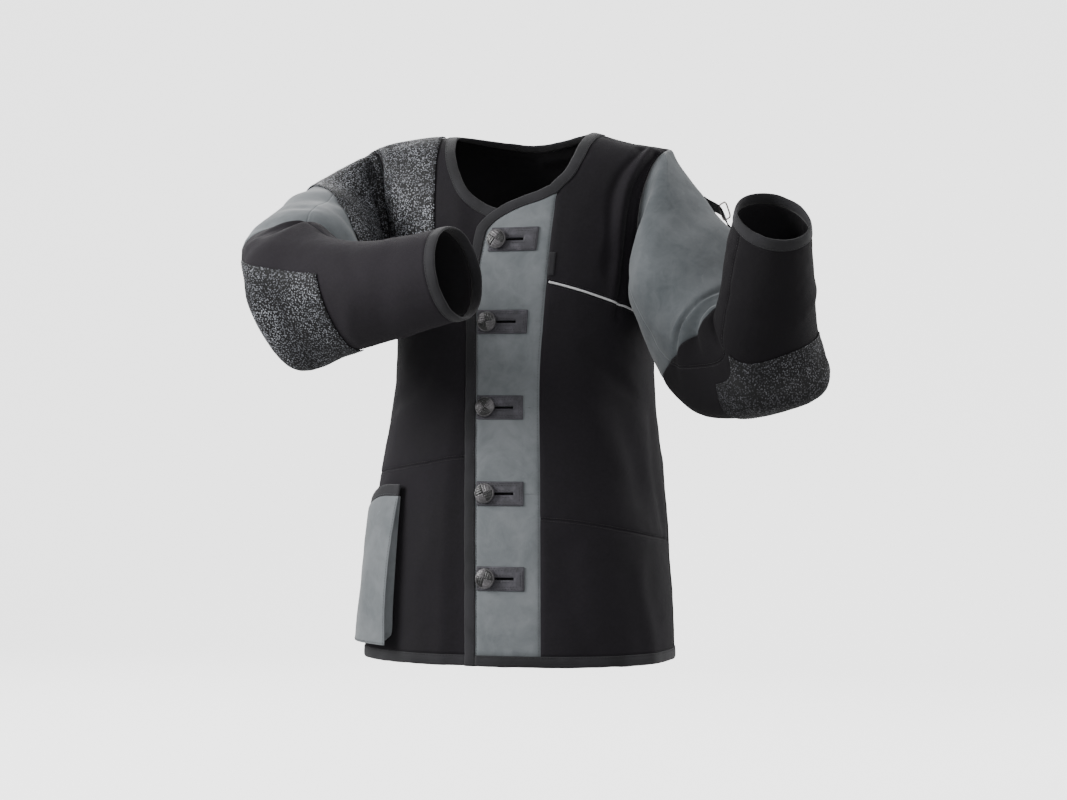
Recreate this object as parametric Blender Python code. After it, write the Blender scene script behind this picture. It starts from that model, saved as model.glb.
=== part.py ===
"""A rifle shooting jacket, filled out as if worn, with both arms bent to hold a rifle.

Metres, +Z up. The jacket faces -Y and its left sleeve is at +X. The origin is where the wearer's
shoulders carry it: midway between the two neck points, on the shoulder seams.

Every cloth piece is a thin wall laid on one of three forms: the torso, and a bent tube for each arm.
A place on the torso is (angle, level). Angle 0 is the centre front, 90 the left side, 180 the centre
back, and the right side is negative. Level is the height, and above the armpit it runs on to 0 at the
shoulder seam. A place on a sleeve is (turn, station). Turn 0 is the side that meets the shoulder tip,
90 the inside of the elbow, 180 the underside and 270 the outside of the elbow. Station is the rough
distance down the sleeve from the armhole.
"""

import math
from collections import namedtuple
from functools import partial

import bpy
import numpy as np

# Cloth
CLOTH = 0.0020
SEAM = 0.0003
EDGE_GAP = 0.00045  # where the piece beyond the seam isn't set back
PROUD = 0.0004
PATCH = 0.0016
TAPE = 0.0034
TAPE_WIDTH = 0.0145
TAPE_LIFT = 0.0007
SHARP_ANGLE = 40
DEGREE = 0.0031  # length of a degree round the torso

# Torso
ARMPIT = -0.270
HEM = -0.706
BOXINESS = 0.09
TOP_ROUNDNESS = 0.16
SIDE_SEAM = 96

# Closure: the left front lies over the right one
UNDERLAP_ANGLE = 12
UNDERLAP_DROP = 0.0060
UNDERLAP_START = -19
UNDERLAP_END = -10

# Buttons and tabs
BUTTON_RADIUS = 0.0135
BUTTON_HEIGHT = 0.0085
BUTTON_SIDES = 20
SHANK_RADIUS = 0.0017
BUTTON_GAP = 0.0010
SLOT_HALF_HEIGHT = 0.0022
TAB_HALF_HEIGHT = 0.0152

TorsoRow = namedtuple("TorsoRow", "level half_width front back middle")
TORSO = [
    TorsoRow(level=-0.730, half_width=0.213, front=0.150, back=0.150, middle=-0.023),
    TorsoRow(level=-0.600, half_width=0.206, front=0.149, back=0.146, middle=-0.018),
    TorsoRow(level=-0.450, half_width=0.193, front=0.140, back=0.135, middle=-0.012),
    TorsoRow(level=-0.360, half_width=0.181, front=0.134, back=0.130, middle=0.000),
    TorsoRow(level=ARMPIT, half_width=0.178, front=0.130, back=0.128, middle=0.008),
    TorsoRow(level=-0.150, half_width=0.198, front=0.130, back=0.128, middle=0.012),
    TorsoRow(level=0.000, half_width=0.226, front=0.130, back=0.128, middle=0.012),
]

# Height of the shoulder ridge. The right arm is raised, so that shoulder is the higher one.
RidgeRow = namedtuple("RidgeRow", "x height")
RIDGE = [
    RidgeRow(x=-0.24, height=-0.024),
    RidgeRow(x=-0.20, height=-0.008),
    RidgeRow(x=-0.15, height=0.000),
    RidgeRow(x=-0.10, height=0.002),
    RidgeRow(x=0.00, height=0.003),
    RidgeRow(x=0.10, height=0.001),
    RidgeRow(x=0.14, height=-0.010),
    RidgeRow(x=0.20, height=-0.022),
    RidgeRow(x=0.24, height=-0.032),
]

# Soft folds pressed into the torso, each along a straight line of places
TorsoFold = namedtuple("TorsoFold", "angle level to_angle to_level depth width")
TORSO_FOLDS = [
    TorsoFold(angle=56, level=-0.060, to_angle=46, to_level=-0.190, depth=0.005, width=0.016),
    TorsoFold(angle=52, level=-0.330, to_angle=66, to_level=-0.480, depth=-0.004, width=0.028),
    TorsoFold(angle=-56, level=-0.500, to_angle=-60, to_level=-0.690, depth=0.004, width=0.030),
    TorsoFold(angle=132, level=-0.110, to_angle=126, to_level=-0.240, depth=-0.008, width=0.020),
    TorsoFold(angle=-132, level=-0.110, to_angle=-126, to_level=-0.240, depth=-0.008, width=0.020),
    TorsoFold(angle=150, level=-0.560, to_angle=152, to_level=-0.700, depth=0.007, width=0.035),
    TorsoFold(angle=-150, level=-0.560, to_angle=-152, to_level=-0.700, depth=0.007, width=0.035),
]

# Seam lines, as places from one end to the other
Place = namedtuple("Place", "angle level")
PLACKET_SEAM = [
    Place(17.2, -0.740),
    Place(17.2, -0.464),
    Place(16.9, -0.288),
    Place(18.4, -0.221),
    Place(19.4, -0.158),
]
FRONT_EDGE = [
    Place(-4.7, -0.740),
    Place(-5.0, -0.660),
    Place(-5.6, -0.568),
    Place(-6.7, -0.464),
    Place(-8.6, -0.360),
    Place(-9.7, -0.281),
    Place(-9.6, -0.240),
    Place(-7.7, -0.208),
    Place(-6.2, -0.193),
]
LEFT_NECKLINE = [
    Place(-6.2, -0.193),
    Place(-2.9, -0.185),
    Place(2.0, -0.177),
    Place(8.3, -0.170),
    Place(14.3, -0.165),
    Place(19.4, -0.158),
]
LEFT_NECK_SIDE = [
    Place(19.4, -0.158),
    Place(23.7, -0.142),
    Place(26.1, -0.123),
    Place(27.3, -0.089),
    Place(27.6, -0.049),
    Place(27.6, 0.000),
]
RIGHT_NECKLINE = [
    Place(12.0, -0.184),
    Place(4.0, -0.184),
    Place(-5.5, -0.179),
    Place(-10.6, -0.174),
    Place(-16.2, -0.163),
    Place(-21.4, -0.139),
    Place(-24.6, -0.106),
    Place(-26.0, -0.065),
    Place(-26.6, 0.000),
]
BACK_NECKLINE = [
    Place(152.4, 0.000),
    Place(156.0, -0.028),
    Place(166.0, -0.058),
    Place(180.0, -0.072),
    Place(194.0, -0.055),
    Place(203.5, -0.022),
    Place(206.6, 0.000),
]
PATCH_SEAM = [Place(-29.0, -0.250), Place(-28.6, -0.130), Place(-28.6, 0.000)]
PATCH_BOTTOM = -0.250
RIGHT_WAIST = [
    Place(UNDERLAP_ANGLE, -0.430),
    Place(-11.9, -0.434),
    Place(-33.9, -0.446),
    Place(-68.9, -0.458),
    Place(-SIDE_SEAM, -0.462),
]
LEFT_WAIST = [
    Place(17.2, -0.514),
    Place(32.3, -0.519),
    Place(50.5, -0.529),
    Place(74.2, -0.541),
    Place(SIDE_SEAM, -0.548),
]
PIPING_START = Place(18.2, -0.234)

# Armholes: each place is (angle, level) with the angle's sign left off
ArmholeRow = namedtuple("ArmholeRow", "turn angle level")
LEFT_ARMHOLE = [
    ArmholeRow(turn=0, angle=62, level=0.000),
    ArmholeRow(turn=30, angle=62, level=-0.050),
    ArmholeRow(turn=60, angle=60, level=-0.108),
    ArmholeRow(turn=90, angle=59, level=-0.165),
    ArmholeRow(turn=120, angle=64, level=-0.217),
    ArmholeRow(turn=150, angle=76, level=-0.258),
    ArmholeRow(turn=180, angle=SIDE_SEAM, level=-0.280),
    ArmholeRow(turn=210, angle=110, level=-0.258),
    ArmholeRow(turn=240, angle=117, level=-0.217),
    ArmholeRow(turn=270, angle=120, level=-0.165),
    ArmholeRow(turn=300, angle=120, level=-0.108),
    ArmholeRow(turn=330, angle=118, level=-0.050),
    ArmholeRow(turn=360, angle=118, level=0.000),
]
RIGHT_ARMHOLE = [
    ArmholeRow(turn=0, angle=78, level=0.000),
    ArmholeRow(turn=30, angle=77, level=-0.050),
    ArmholeRow(turn=60, angle=75, level=-0.108),
    ArmholeRow(turn=90, angle=74, level=-0.165),
    ArmholeRow(turn=120, angle=76, level=-0.217),
    ArmholeRow(turn=150, angle=83, level=-0.258),
    ArmholeRow(turn=180, angle=SIDE_SEAM, level=-0.280),
    ArmholeRow(turn=210, angle=108, level=-0.258),
    ArmholeRow(turn=240, angle=114, level=-0.217),
    ArmholeRow(turn=270, angle=117, level=-0.165),
    ArmholeRow(turn=300, angle=117, level=-0.108),
    ArmholeRow(turn=330, angle=112, level=-0.050),
    ArmholeRow(turn=360, angle=102, level=0.000),
]

# Sleeves. A row is one ring, given in the plane of the bent arm: along is the distance down the upper
# arm from the shoulder joint, across the distance towards the forearm's side. half is the half width
# at right angles to that plane.
SleeveRow = namedtuple("SleeveRow", "station inner_along inner_across outer_along outer_across half box")
RIGHT_RINGS = [
    SleeveRow(0.070, 0.059, 0.030, 0.036, -0.085, 0.071, 0.00),
    SleeveRow(0.135, 0.125, 0.055, 0.125, -0.091, 0.083, 0.06),
    SleeveRow(0.200, 0.195, 0.058, 0.224, -0.093, 0.089, 0.15),
    SleeveRow(0.235, 0.224, 0.059, 0.286, -0.057, 0.088, 0.18),
    SleeveRow(0.262, 0.228, 0.065, 0.328, -0.024, 0.092, 0.30),
    SleeveRow(0.295, 0.242, 0.089, 0.348, 0.036, 0.080, 0.12),
    SleeveRow(0.380, 0.264, 0.160, 0.371, 0.152, 0.064, 0.01),
    SleeveRow(0.480, 0.255, 0.261, 0.374, 0.261, 0.057, 0.01),
]
LEFT_RINGS = [
    SleeveRow(0.135, 0.100, 0.065, 0.132, -0.078, 0.087, 0.08),
    SleeveRow(0.200, 0.197, 0.057, 0.247, -0.105, 0.091, 0.15),
    SleeveRow(0.235, 0.216, 0.060, 0.314, -0.068, 0.086, 0.26),
    SleeveRow(0.262, 0.236, 0.073, 0.377, 0.009, 0.073, 0.29),
    SleeveRow(0.295, 0.228, 0.096, 0.354, 0.044, 0.068, 0.12),
    SleeveRow(0.380, 0.203, 0.147, 0.317, 0.140, 0.056, 0.04),
    SleeveRow(0.460, 0.189, 0.196, 0.284, 0.210, 0.046, 0.02),
]

# twist is how far round the armhole lags the sleeve: the sleeve's turn 0 meets the armhole's turn -twist
Arm = namedtuple("Arm", "side shoulder elbow cuff twist armhole rings")
HEAD_SLOPE = 1.1  # how steeply a sleeve leaves the front of its armhole
RIGHT_ARM = Arm(
    side=-1,
    shoulder=(-0.212, -0.010, -0.095),
    elbow=(-0.240, -0.261, -0.235),
    cuff=(0.007, -0.340, -0.206),
    twist=0,
    armhole=RIGHT_ARMHOLE,
    rings=RIGHT_RINGS,
)
LEFT_ARM = Arm(
    side=1,
    shoulder=(0.176, -0.015, -0.112),
    elbow=(0.345, -0.143, -0.318),
    cuff=(0.384, -0.250, -0.135),
    twist=75,
    armhole=LEFT_ARMHOLE,
    rings=LEFT_RINGS,
)


def hermite(x, y, at):
    """y at any x, along a smooth curve through the rows; y may hold points."""
    x = np.asarray(x, float)
    y = np.asarray(y, float)
    at = np.clip(np.asarray(at, float), x[0], x[-1])
    slope = np.gradient(y, x, axis=0)
    k = np.clip(np.searchsorted(x, at, side="right") - 1, 0, len(x) - 2)
    span = x[k + 1] - x[k]
    t = (at - x[k]) / span
    shape = t.shape + (1,) * (y.ndim - 1)
    span, t = span.reshape(shape), t.reshape(shape)
    start = y[k] * (1 + 2 * t) * (1 - t) ** 2 + slope[k] * span * t * (1 - t) ** 2
    end = y[k + 1] * t * t * (3 - 2 * t) + slope[k + 1] * span * t * t * (t - 1)
    return start + end


def column(rows, key, name, at):
    return hermite([getattr(r, key) for r in rows], [getattr(r, name) for r in rows], at)


def smooth_step(value, start, end):
    t = np.clip((value - start) / (end - start), 0, 1)
    return t * t * (3 - 2 * t)


def unit(vectors):
    return vectors / np.linalg.norm(vectors, axis=-1, keepdims=True)


# ---- The torso form


def torso_skin(places):
    angle, level = places[..., 0], places[..., 1]
    sine, cosine = np.sin(np.radians(angle)), np.cos(np.radians(angle))
    half_width = column(TORSO, "level", "half_width", level)
    front = column(TORSO, "level", "front", level)
    back = column(TORSO, "level", "back", level)
    rise = np.radians(90) * np.maximum((level - ARMPIT) / -ARMPIT, 0)
    depth = np.where(cosine > 0, front, back) * cosine * (1 + BOXINESS * sine**2)
    depth = depth * np.cos(rise) * (1 + TOP_ROUNDNESS * np.sin(rise) ** 2)
    x = half_width * sine * (1 + BOXINESS * cosine**2)
    y = column(TORSO, "level", "middle", level) - depth
    climb = np.sin(rise) * (1 + TOP_ROUNDNESS * np.cos(rise) ** 2)
    ridge = column(RIDGE, "x", "height", x)
    z = np.where(level > ARMPIT, ARMPIT + (ridge - ARMPIT) * climb, level)
    return np.stack([x, y, z], axis=-1)


def torso_relief(places):
    """How far the folds stand out of the smooth torso."""
    angle = (places[..., 0] + 180) % 360 - 180
    here = np.stack([angle * DEGREE, places[..., 1]], axis=-1)
    total = np.zeros(angle.shape)
    for fold in TORSO_FOLDS:
        start = np.array([fold.angle * DEGREE, fold.level])
        run = np.array([fold.to_angle * DEGREE, fold.to_level]) - start
        along = ((here - start) @ run) / (run @ run)
        nearest = start + np.clip(along, 0, 1)[..., None] * run
        apart = np.linalg.norm(here - nearest, axis=-1)
        total += fold.depth * np.exp(-((apart / fold.width) ** 2))
    return total


def normals(skin, places, degrees=0.05):
    """Outward unit normals of a form, from two short steps across each place."""
    step_a, step_b = np.array([degrees, 0]), np.array([0, 0.0001])
    across = skin(places + step_a) - skin(places - step_a)
    up = skin(places + step_b) - skin(places - step_b)
    return unit(np.cross(across, up))


def level_under_ridge(places):
    """Levels a hair under the shoulder seam, so that a step across it stays on one side."""
    return np.stack([places[..., 0], np.minimum(places[..., 1], -0.0003)], axis=-1)


def torso(places, out=0.0):
    """Points a distance out from the folded torso, and their outward normals."""
    places = level_under_ridge(np.asarray(places, float))
    smooth = normals(torso_skin, places)

    def folded(at):
        return torso_skin(at) + torso_relief(at)[..., None] * normals(torso_skin, at)

    outward = normals(folded, places)
    return torso_skin(places) + torso_relief(places)[..., None] * smooth + outward * out, outward


def right_front_form(places, out=0.0):
    """The torso, sunk under the left front's overlap."""
    points, outward = torso(places, out)
    sunk = smooth_step(np.asarray(places, float)[..., 0], UNDERLAP_START, UNDERLAP_END)
    return points - outward * (sunk * UNDERLAP_DROP)[..., None], outward


# ---- The sleeve form

SLEEVE_STEP = 2.0  # degrees, long enough to even out the corner of an armhole at the shoulder seam


def armhole_places(arm, turn):
    """Places on the torso along an armhole."""
    turn = np.asarray(turn, float)
    rows = arm.armhole
    angle = column(rows, "turn", "angle", turn)
    level = column(rows, "turn", "level", turn)
    return np.stack([angle * arm.side, np.minimum(level, 0)], axis=-1)


def arm_axes(arm):
    """Unit vectors down the upper arm, across it towards the forearm, and to its top side."""
    shoulder, elbow, cuff = (np.array(p) for p in (arm.shoulder, arm.elbow, arm.cuff))
    along = unit(elbow - shoulder)
    across = (cuff - elbow) - ((cuff - elbow) @ along) * along
    across = unit(across)
    return along, across, -arm.side * np.cross(along, across)


def sleeve_skin(arm, places):
    turn, station = places[..., 0] % 360, places[..., 1]
    along, across, top = arm_axes(arm)
    seam, torso_out = torso(armhole_places(arm, (turn - arm.twist) % 360))
    rings = [seam]
    radians = np.radians(turn)[..., None]
    for row in arm.rings:
        inner = np.array(arm.shoulder) + along * row.inner_along + across * row.inner_across
        outer = np.array(arm.shoulder) + along * row.outer_along + across * row.outer_across
        middle = (inner + outer) / 2
        upward = np.cos(radians) * (1 + row.box * np.sin(radians) ** 2)
        inward = np.sin(radians) * (1 + row.box * np.cos(radians) ** 2)
        rings.append(middle + upward * row.half * top + inward * (inner - middle))
    stations = np.array([0.0] + [row.station for row in arm.rings])
    rings = np.array(rings)
    slopes = np.gradient(rings, stations, axis=0)
    front = np.maximum(np.sin(radians - math.radians(arm.twist)), 0)
    slopes[0] = slopes[0] + (torso_out * HEAD_SLOPE - slopes[0]) * front
    station = np.clip(station, 0, stations[-1])
    k = np.clip(np.searchsorted(stations, station, side="right") - 1, 0, len(stations) - 2)
    span = (stations[k + 1] - stations[k])[..., None]
    t = ((station - stations[k])[..., None]) / span

    def pick(table, row):
        flat = table.reshape(len(stations), -1, 3)
        return flat[row.reshape(-1), np.arange(row.size)].reshape(row.shape + (3,))

    start = pick(rings, k) * (1 + 2 * t) * (1 - t) ** 2 + pick(slopes, k) * span * t * (1 - t) ** 2
    end = pick(rings, k + 1) * t * t * (3 - 2 * t) + pick(slopes, k + 1) * span * t * t * (t - 1)
    return start + end


def sleeve_relief(arm, places):
    """How far the folds stand out of the smooth sleeve."""
    turn, station = places[..., 0], places[..., 1]
    total = np.zeros(turn.shape)
    for fold in SLEEVE_FOLDS[arm.side]:
        away = (turn - fold.turn + 180) % 360 - 180
        ridge = (station - fold.station - fold.slant * away / 90) / fold.width
        total += fold.depth * np.exp(-(ridge**2)) * np.exp(-((away / fold.reach) ** 2))
    last = arm.rings[-1].station
    return total * smooth_step(station, 0.0, 0.03) * smooth_step(station, last, last - 0.04)


def sleeve(arm, places, out=0.0):
    """Points a distance out from the folded sleeve, and their outward normals."""
    places = np.asarray(places, float)
    last = arm.rings[-1].station
    kept = np.stack([places[..., 0], np.clip(places[..., 1], 0.0003, last - 0.0003)], axis=-1)

    def bare(at):
        return sleeve_skin(arm, at)

    def folded(at):
        return bare(at) + (sleeve_relief(arm, at) * arm.side)[..., None] * normals(bare, at, SLEEVE_STEP)

    outward = normals(folded, kept, SLEEVE_STEP) * arm.side
    smooth = normals(bare, kept, SLEEVE_STEP) * arm.side
    points = bare(places) + sleeve_relief(arm, places)[..., None] * smooth
    return points + outward * out, outward


# ---- Walls


def sample(line, count, spacing=None):
    """Places along a line of places, evenly spaced or at the given shares of its length."""
    line = np.array(line, float)
    steps = np.diff(line, axis=0) * [DEGREE, 1.0]
    length = np.concatenate([[0], np.cumsum(np.linalg.norm(steps, axis=1))])
    shares = np.linspace(0, 1, count + 1) if spacing is None else np.asarray(spacing)
    return hermite(length, line, shares * length[-1])


def coons(bottom, top, left, right):
    """A lattice of places between four lines that meet at the corners."""
    v = np.linspace(0, 1, len(left))[:, None, None]
    u = np.linspace(0, 1, len(bottom))[None, :, None]
    rows = (1 - v) * bottom[None] + v * top[None]
    columns = (1 - u) * left[:, None] + u * right[:, None]
    corners = (1 - v) * ((1 - u) * bottom[0] + u * bottom[-1])
    corners = corners + v * ((1 - u) * top[0] + u * top[-1])
    return rows + columns - corners


def pull_in(points, outward, amount):
    """Moves the border of a lattice of points inwards along its surface, for half of a seam's gap."""
    moved = points.copy()
    every = slice(None)
    borders = [
        ((0, every), (1, every)),
        ((-1, every), (-2, every)),
        ((every, 0), (every, 1)),
        ((every, -1), (every, -2)),
    ]
    for edge, inside in borders:
        inward = unit(np.cross(outward[edge], np.gradient(points[edge], axis=0)))
        inward *= np.sign(np.sum(inward * (points[inside] - points[edge])))
        moved[edge] += inward * amount
    return moved


def wall(name, outer, outward, thickness, material, holes=(), closed=False):
    """A cloth wall whose outer face is a lattice of points. A closed wall joins its last row to its first.

    A hole is (row, end_row, column, end_column)."""
    row_count, column_count = outer.shape[:2]
    inner = outer - outward * thickness
    rows = row_count if closed else row_count - 1
    kept = np.ones((rows, column_count - 1), bool)
    for row, end_row, first, end in holes:
        kept[row:end_row, first:end] = False
    across = outer[1:, 1:] - outer[:-1, :-1]
    up = outer[1:, :-1] - outer[:-1, 1:]
    turned = np.sum(np.cross(across, up) * outward[:-1, :-1]) < 0
    faces = []

    def corner(row, col, inside):
        return (row % row_count) * column_count + col + inside * row_count * column_count

    def add(a, b, c, d):
        triangles = [(a, b, c), (a, c, d)]
        faces.extend(t[::-1] if turned else t for t in triangles)

    def is_kept(row, col):
        if closed:
            row %= rows
        return 0 <= row < rows and 0 <= col < column_count - 1 and kept[row, col]

    for row in range(rows):
        for col in range(column_count - 1):
            if not kept[row, col]:
                continue
            ring = [(row, col), (row, col + 1), (row + 1, col + 1), (row + 1, col)]
            a, b, c, d = (corner(*place, 0) for place in ring)
            add(a, b, c, d)
            e, f, g, h = (corner(*place, 1) for place in ring)
            faces.extend(t if turned else t[::-1] for t in [(e, f, g), (e, g, h)])
            neighbours = [(row - 1, col), (row, col + 1), (row + 1, col), (row, col - 1)]
            for side, beside in enumerate(neighbours):
                if is_kept(*beside):
                    continue
                start, end = ring[side], ring[(side + 1) % 4]
                loop = [corner(*start, 1), corner(*end, 1), corner(*end, 0), corner(*start, 0)]
                # Two walls that meet at a seam split its faces along the same diagonals
                add(*(loop if start < end else loop[1:] + loop[:1]))
    points = np.concatenate([outer.reshape(-1, 3), inner.reshape(-1, 3)])
    return cloth_object(name, points, faces, material)


def cloth_object(name, points, faces, material):
    used = sorted({index for face in faces for index in face})
    renumber = {old: new for new, old in enumerate(used)}
    mesh = bpy.data.meshes.new(name)
    mesh.from_pydata(
        [tuple(points[i]) for i in used],
        [],
        [tuple(renumber[i] for i in face) for face in faces],
    )
    mesh.materials.append(material)
    mesh.shade_smooth()
    mesh.set_sharp_from_angle(angle=math.radians(SHARP_ANGLE))
    piece = bpy.data.objects.new(name, mesh)
    bpy.context.scene.collection.objects.link(piece)
    return piece


def ribbon(name, path, outward, side, material, closed=False):
    """Folded tape beside an edge. side is 1 where the tape lies left of the path, seen from outside."""
    if closed:
        ahead, behind = np.roll(path, -1, axis=0), np.roll(path, 1, axis=0)
    else:
        ahead = np.concatenate([path[1:], path[-1:]])
        behind = np.concatenate([path[:1], path[:-1]])
    beyond = unit(np.cross(outward, unit(ahead - behind))) * side
    start = path + outward * TAPE_LIFT + beyond * EDGE_GAP
    outer = np.stack([start, start + beyond * TAPE_WIDTH], axis=1)
    both = np.stack([outward, outward], axis=1)
    return wall(name, outer, both, TAPE, material, closed=closed)


def lathe(name, profile, base, axis, sides, material):
    """A turned solid. The profile is (radius, height) from the foot to the top, both on the axis."""
    axis = unit(np.asarray(axis, float))
    side_way = unit(np.cross(axis, [0.0, 0.0, 1.0]))
    other_way = np.cross(axis, side_way)
    points = [base + axis * profile[0][1]]
    for radius, height in profile[1:-1]:
        for k in range(sides):
            turn = 2 * math.pi * k / sides
            around = side_way * math.cos(turn) + other_way * math.sin(turn)
            points.append(base + axis * height + around * radius)
    points.append(base + axis * profile[-1][1])
    last = len(points) - 1
    faces = []
    for k in range(sides):
        after = (k + 1) % sides
        faces.append((0, 1 + after, 1 + k))
        faces.append((last, last - sides + k, last - sides + after))
        for ring in range(len(profile) - 3):
            a, b = 1 + ring * sides + k, 1 + ring * sides + after
            faces.append((a, b, b + sides, a + sides))
    return cloth_object(name, np.array(points), faces, material)


# ---- Materials


def finish(name, colour, roughness):
    material = bpy.data.materials.new(name)
    material.use_nodes = True
    shader = material.node_tree.nodes["Principled BSDF"]
    shader.inputs["Base Color"].default_value = (*colour, 1)
    shader.inputs["Roughness"].default_value = roughness
    shader.inputs["Metallic"].default_value = 1.0 if name == "wire" else 0.0
    material.diffuse_color = (*colour, 1)
    return material


def make_finishes():
    return {
        "canvas": finish("canvas", (0.014, 0.013, 0.016), 0.85),
        "charcoal": finish("charcoal", (0.040, 0.036, 0.042), 0.85),
        "suede": finish("suede", (0.165, 0.190, 0.195), 0.90),
        "grip": finish("grip", (0.060, 0.062, 0.068), 0.60),
        "tape": finish("tape", (0.050, 0.048, 0.052), 0.80),
        "tab leather": finish("tab leather", (0.060, 0.058, 0.066), 0.65),
        "button leather": finish("button leather", (0.012, 0.010, 0.010), 0.35),
        "piping": finish("piping", (0.850, 0.850, 0.850), 0.50),
        "webbing": finish("webbing", (0.012, 0.012, 0.013), 0.80),
        "wire": finish("wire", (0.700, 0.640, 0.640), 0.25),
    }


# ---- Torso panels

SKIRT_ROWS = 5
SIDE_ROWS = 5
ARMHOLE_STEP = 15
FRONT_COLUMNS = 6
CHEST_COLUMNS = 8
BACK_NECK_COLUMNS = 14
PATCH_TURN = 150
PATCH_SETBACK = 0.3  # share of a cell that the shoulder patch stops short of the armhole
PATCH_GAP = 0.0012
PANEL_FOOT = HEM + TAPE_WIDTH + SEAM


def on_line(line, level):
    """The place where a mostly upright line of places is at a level."""
    levels = [place.level for place in line]
    return np.array([hermite(levels, [place.angle for place in line], level), level])


def level_of(height, angle=0.0):
    """The level at which the torso is at a height, for the chest, where the two differ."""
    low, high = -0.72, -0.01
    for _ in range(40):
        middle = (low + high) / 2
        below = torso_skin(np.array([angle, middle]))[2] < height
        low, high = (middle, high) if below else (low, middle)
    return (low + high) / 2


def armhole_line(arm, start_turn, end_turn):
    count = round(abs(end_turn - start_turn) / ARMHOLE_STEP)
    return armhole_places(arm, np.linspace(start_turn, end_turn, count + 1))


def upright(angle, start_level, end_level, rows):
    levels = np.linspace(start_level, end_level, rows + 1)
    return np.stack([np.full(rows + 1, float(angle)), levels], axis=-1)


def seam_edge(line, start_level, end_level, rows):
    levels = np.linspace(start_level, end_level, rows + 1)
    return np.array([on_line(line, level) for level in levels])


def across(start, end, columns):
    return np.linspace(np.asarray(start, float), np.asarray(end, float), columns + 1)


def stack(*parts):
    """Joins runs of places end to end, where each starts at the last one's end."""
    return np.concatenate([parts[0]] + [part[1:] for part in parts[1:]])


def panel(name, places, form, material, out=0.0, thickness=CLOTH, holes=(), gap=SEAM / 2):
    points, outward = form(places, out)
    return wall(name, pull_in(points, outward, gap), outward, thickness, material, holes=holes)


def left_front(finishes):
    arm = LEFT_ARM
    seam_rows = 4
    yoke_rows = PATCH_TURN // ARMHOLE_STEP
    piping = across(PIPING_START, armhole_places(arm, PATCH_TURN), FRONT_COLUMNS)
    waist = sample(LEFT_WAIST, FRONT_COLUMNS)
    neck_side = sample(LEFT_NECK_SIDE, yoke_rows - seam_rows)
    seam_top = seam_edge(PLACKET_SEAM, PIPING_START.level, LEFT_NECK_SIDE[0].level, seam_rows)
    inner = stack(seam_top, neck_side)
    inner[0], inner[seam_rows] = PIPING_START, LEFT_NECK_SIDE[0]
    shoulder = across(LEFT_NECK_SIDE[-1], armhole_places(arm, 0), FRONT_COLUMNS)
    yoke = coons(piping, shoulder, inner, armhole_line(arm, PATCH_TURN, 0))
    side = upright(SIDE_SEAM, LEFT_WAIST[-1].level, arm.armhole[6].level, SIDE_ROWS)
    outer = stack(side, armhole_line(arm, 180, PATCH_TURN))
    edge = seam_edge(PLACKET_SEAM, LEFT_WAIST[0].level, PIPING_START.level, len(outer) - 1)
    edge[0], edge[-1] = waist[0], piping[0]
    body = coons(waist, piping, edge, outer)
    foot = across(on_line(PLACKET_SEAM, PANEL_FOOT), (SIDE_SEAM, PANEL_FOOT), FRONT_COLUMNS)
    skirt_edge = seam_edge(PLACKET_SEAM, PANEL_FOOT, waist[0][1], SKIRT_ROWS)
    skirt_side = upright(SIDE_SEAM, PANEL_FOOT, waist[-1][1], SKIRT_ROWS)
    skirt_edge[-1] = waist[0]
    skirt = coons(foot, waist, skirt_edge, skirt_side)
    panel("front_left_yoke", yoke, torso, finishes["canvas"])
    panel("front_left_body", body, torso, finishes["canvas"])
    panel("front_left_skirt", skirt, torso, finishes["canvas"])
    return {"neck": neck_side, "foot": foot, "piping": piping}


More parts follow.
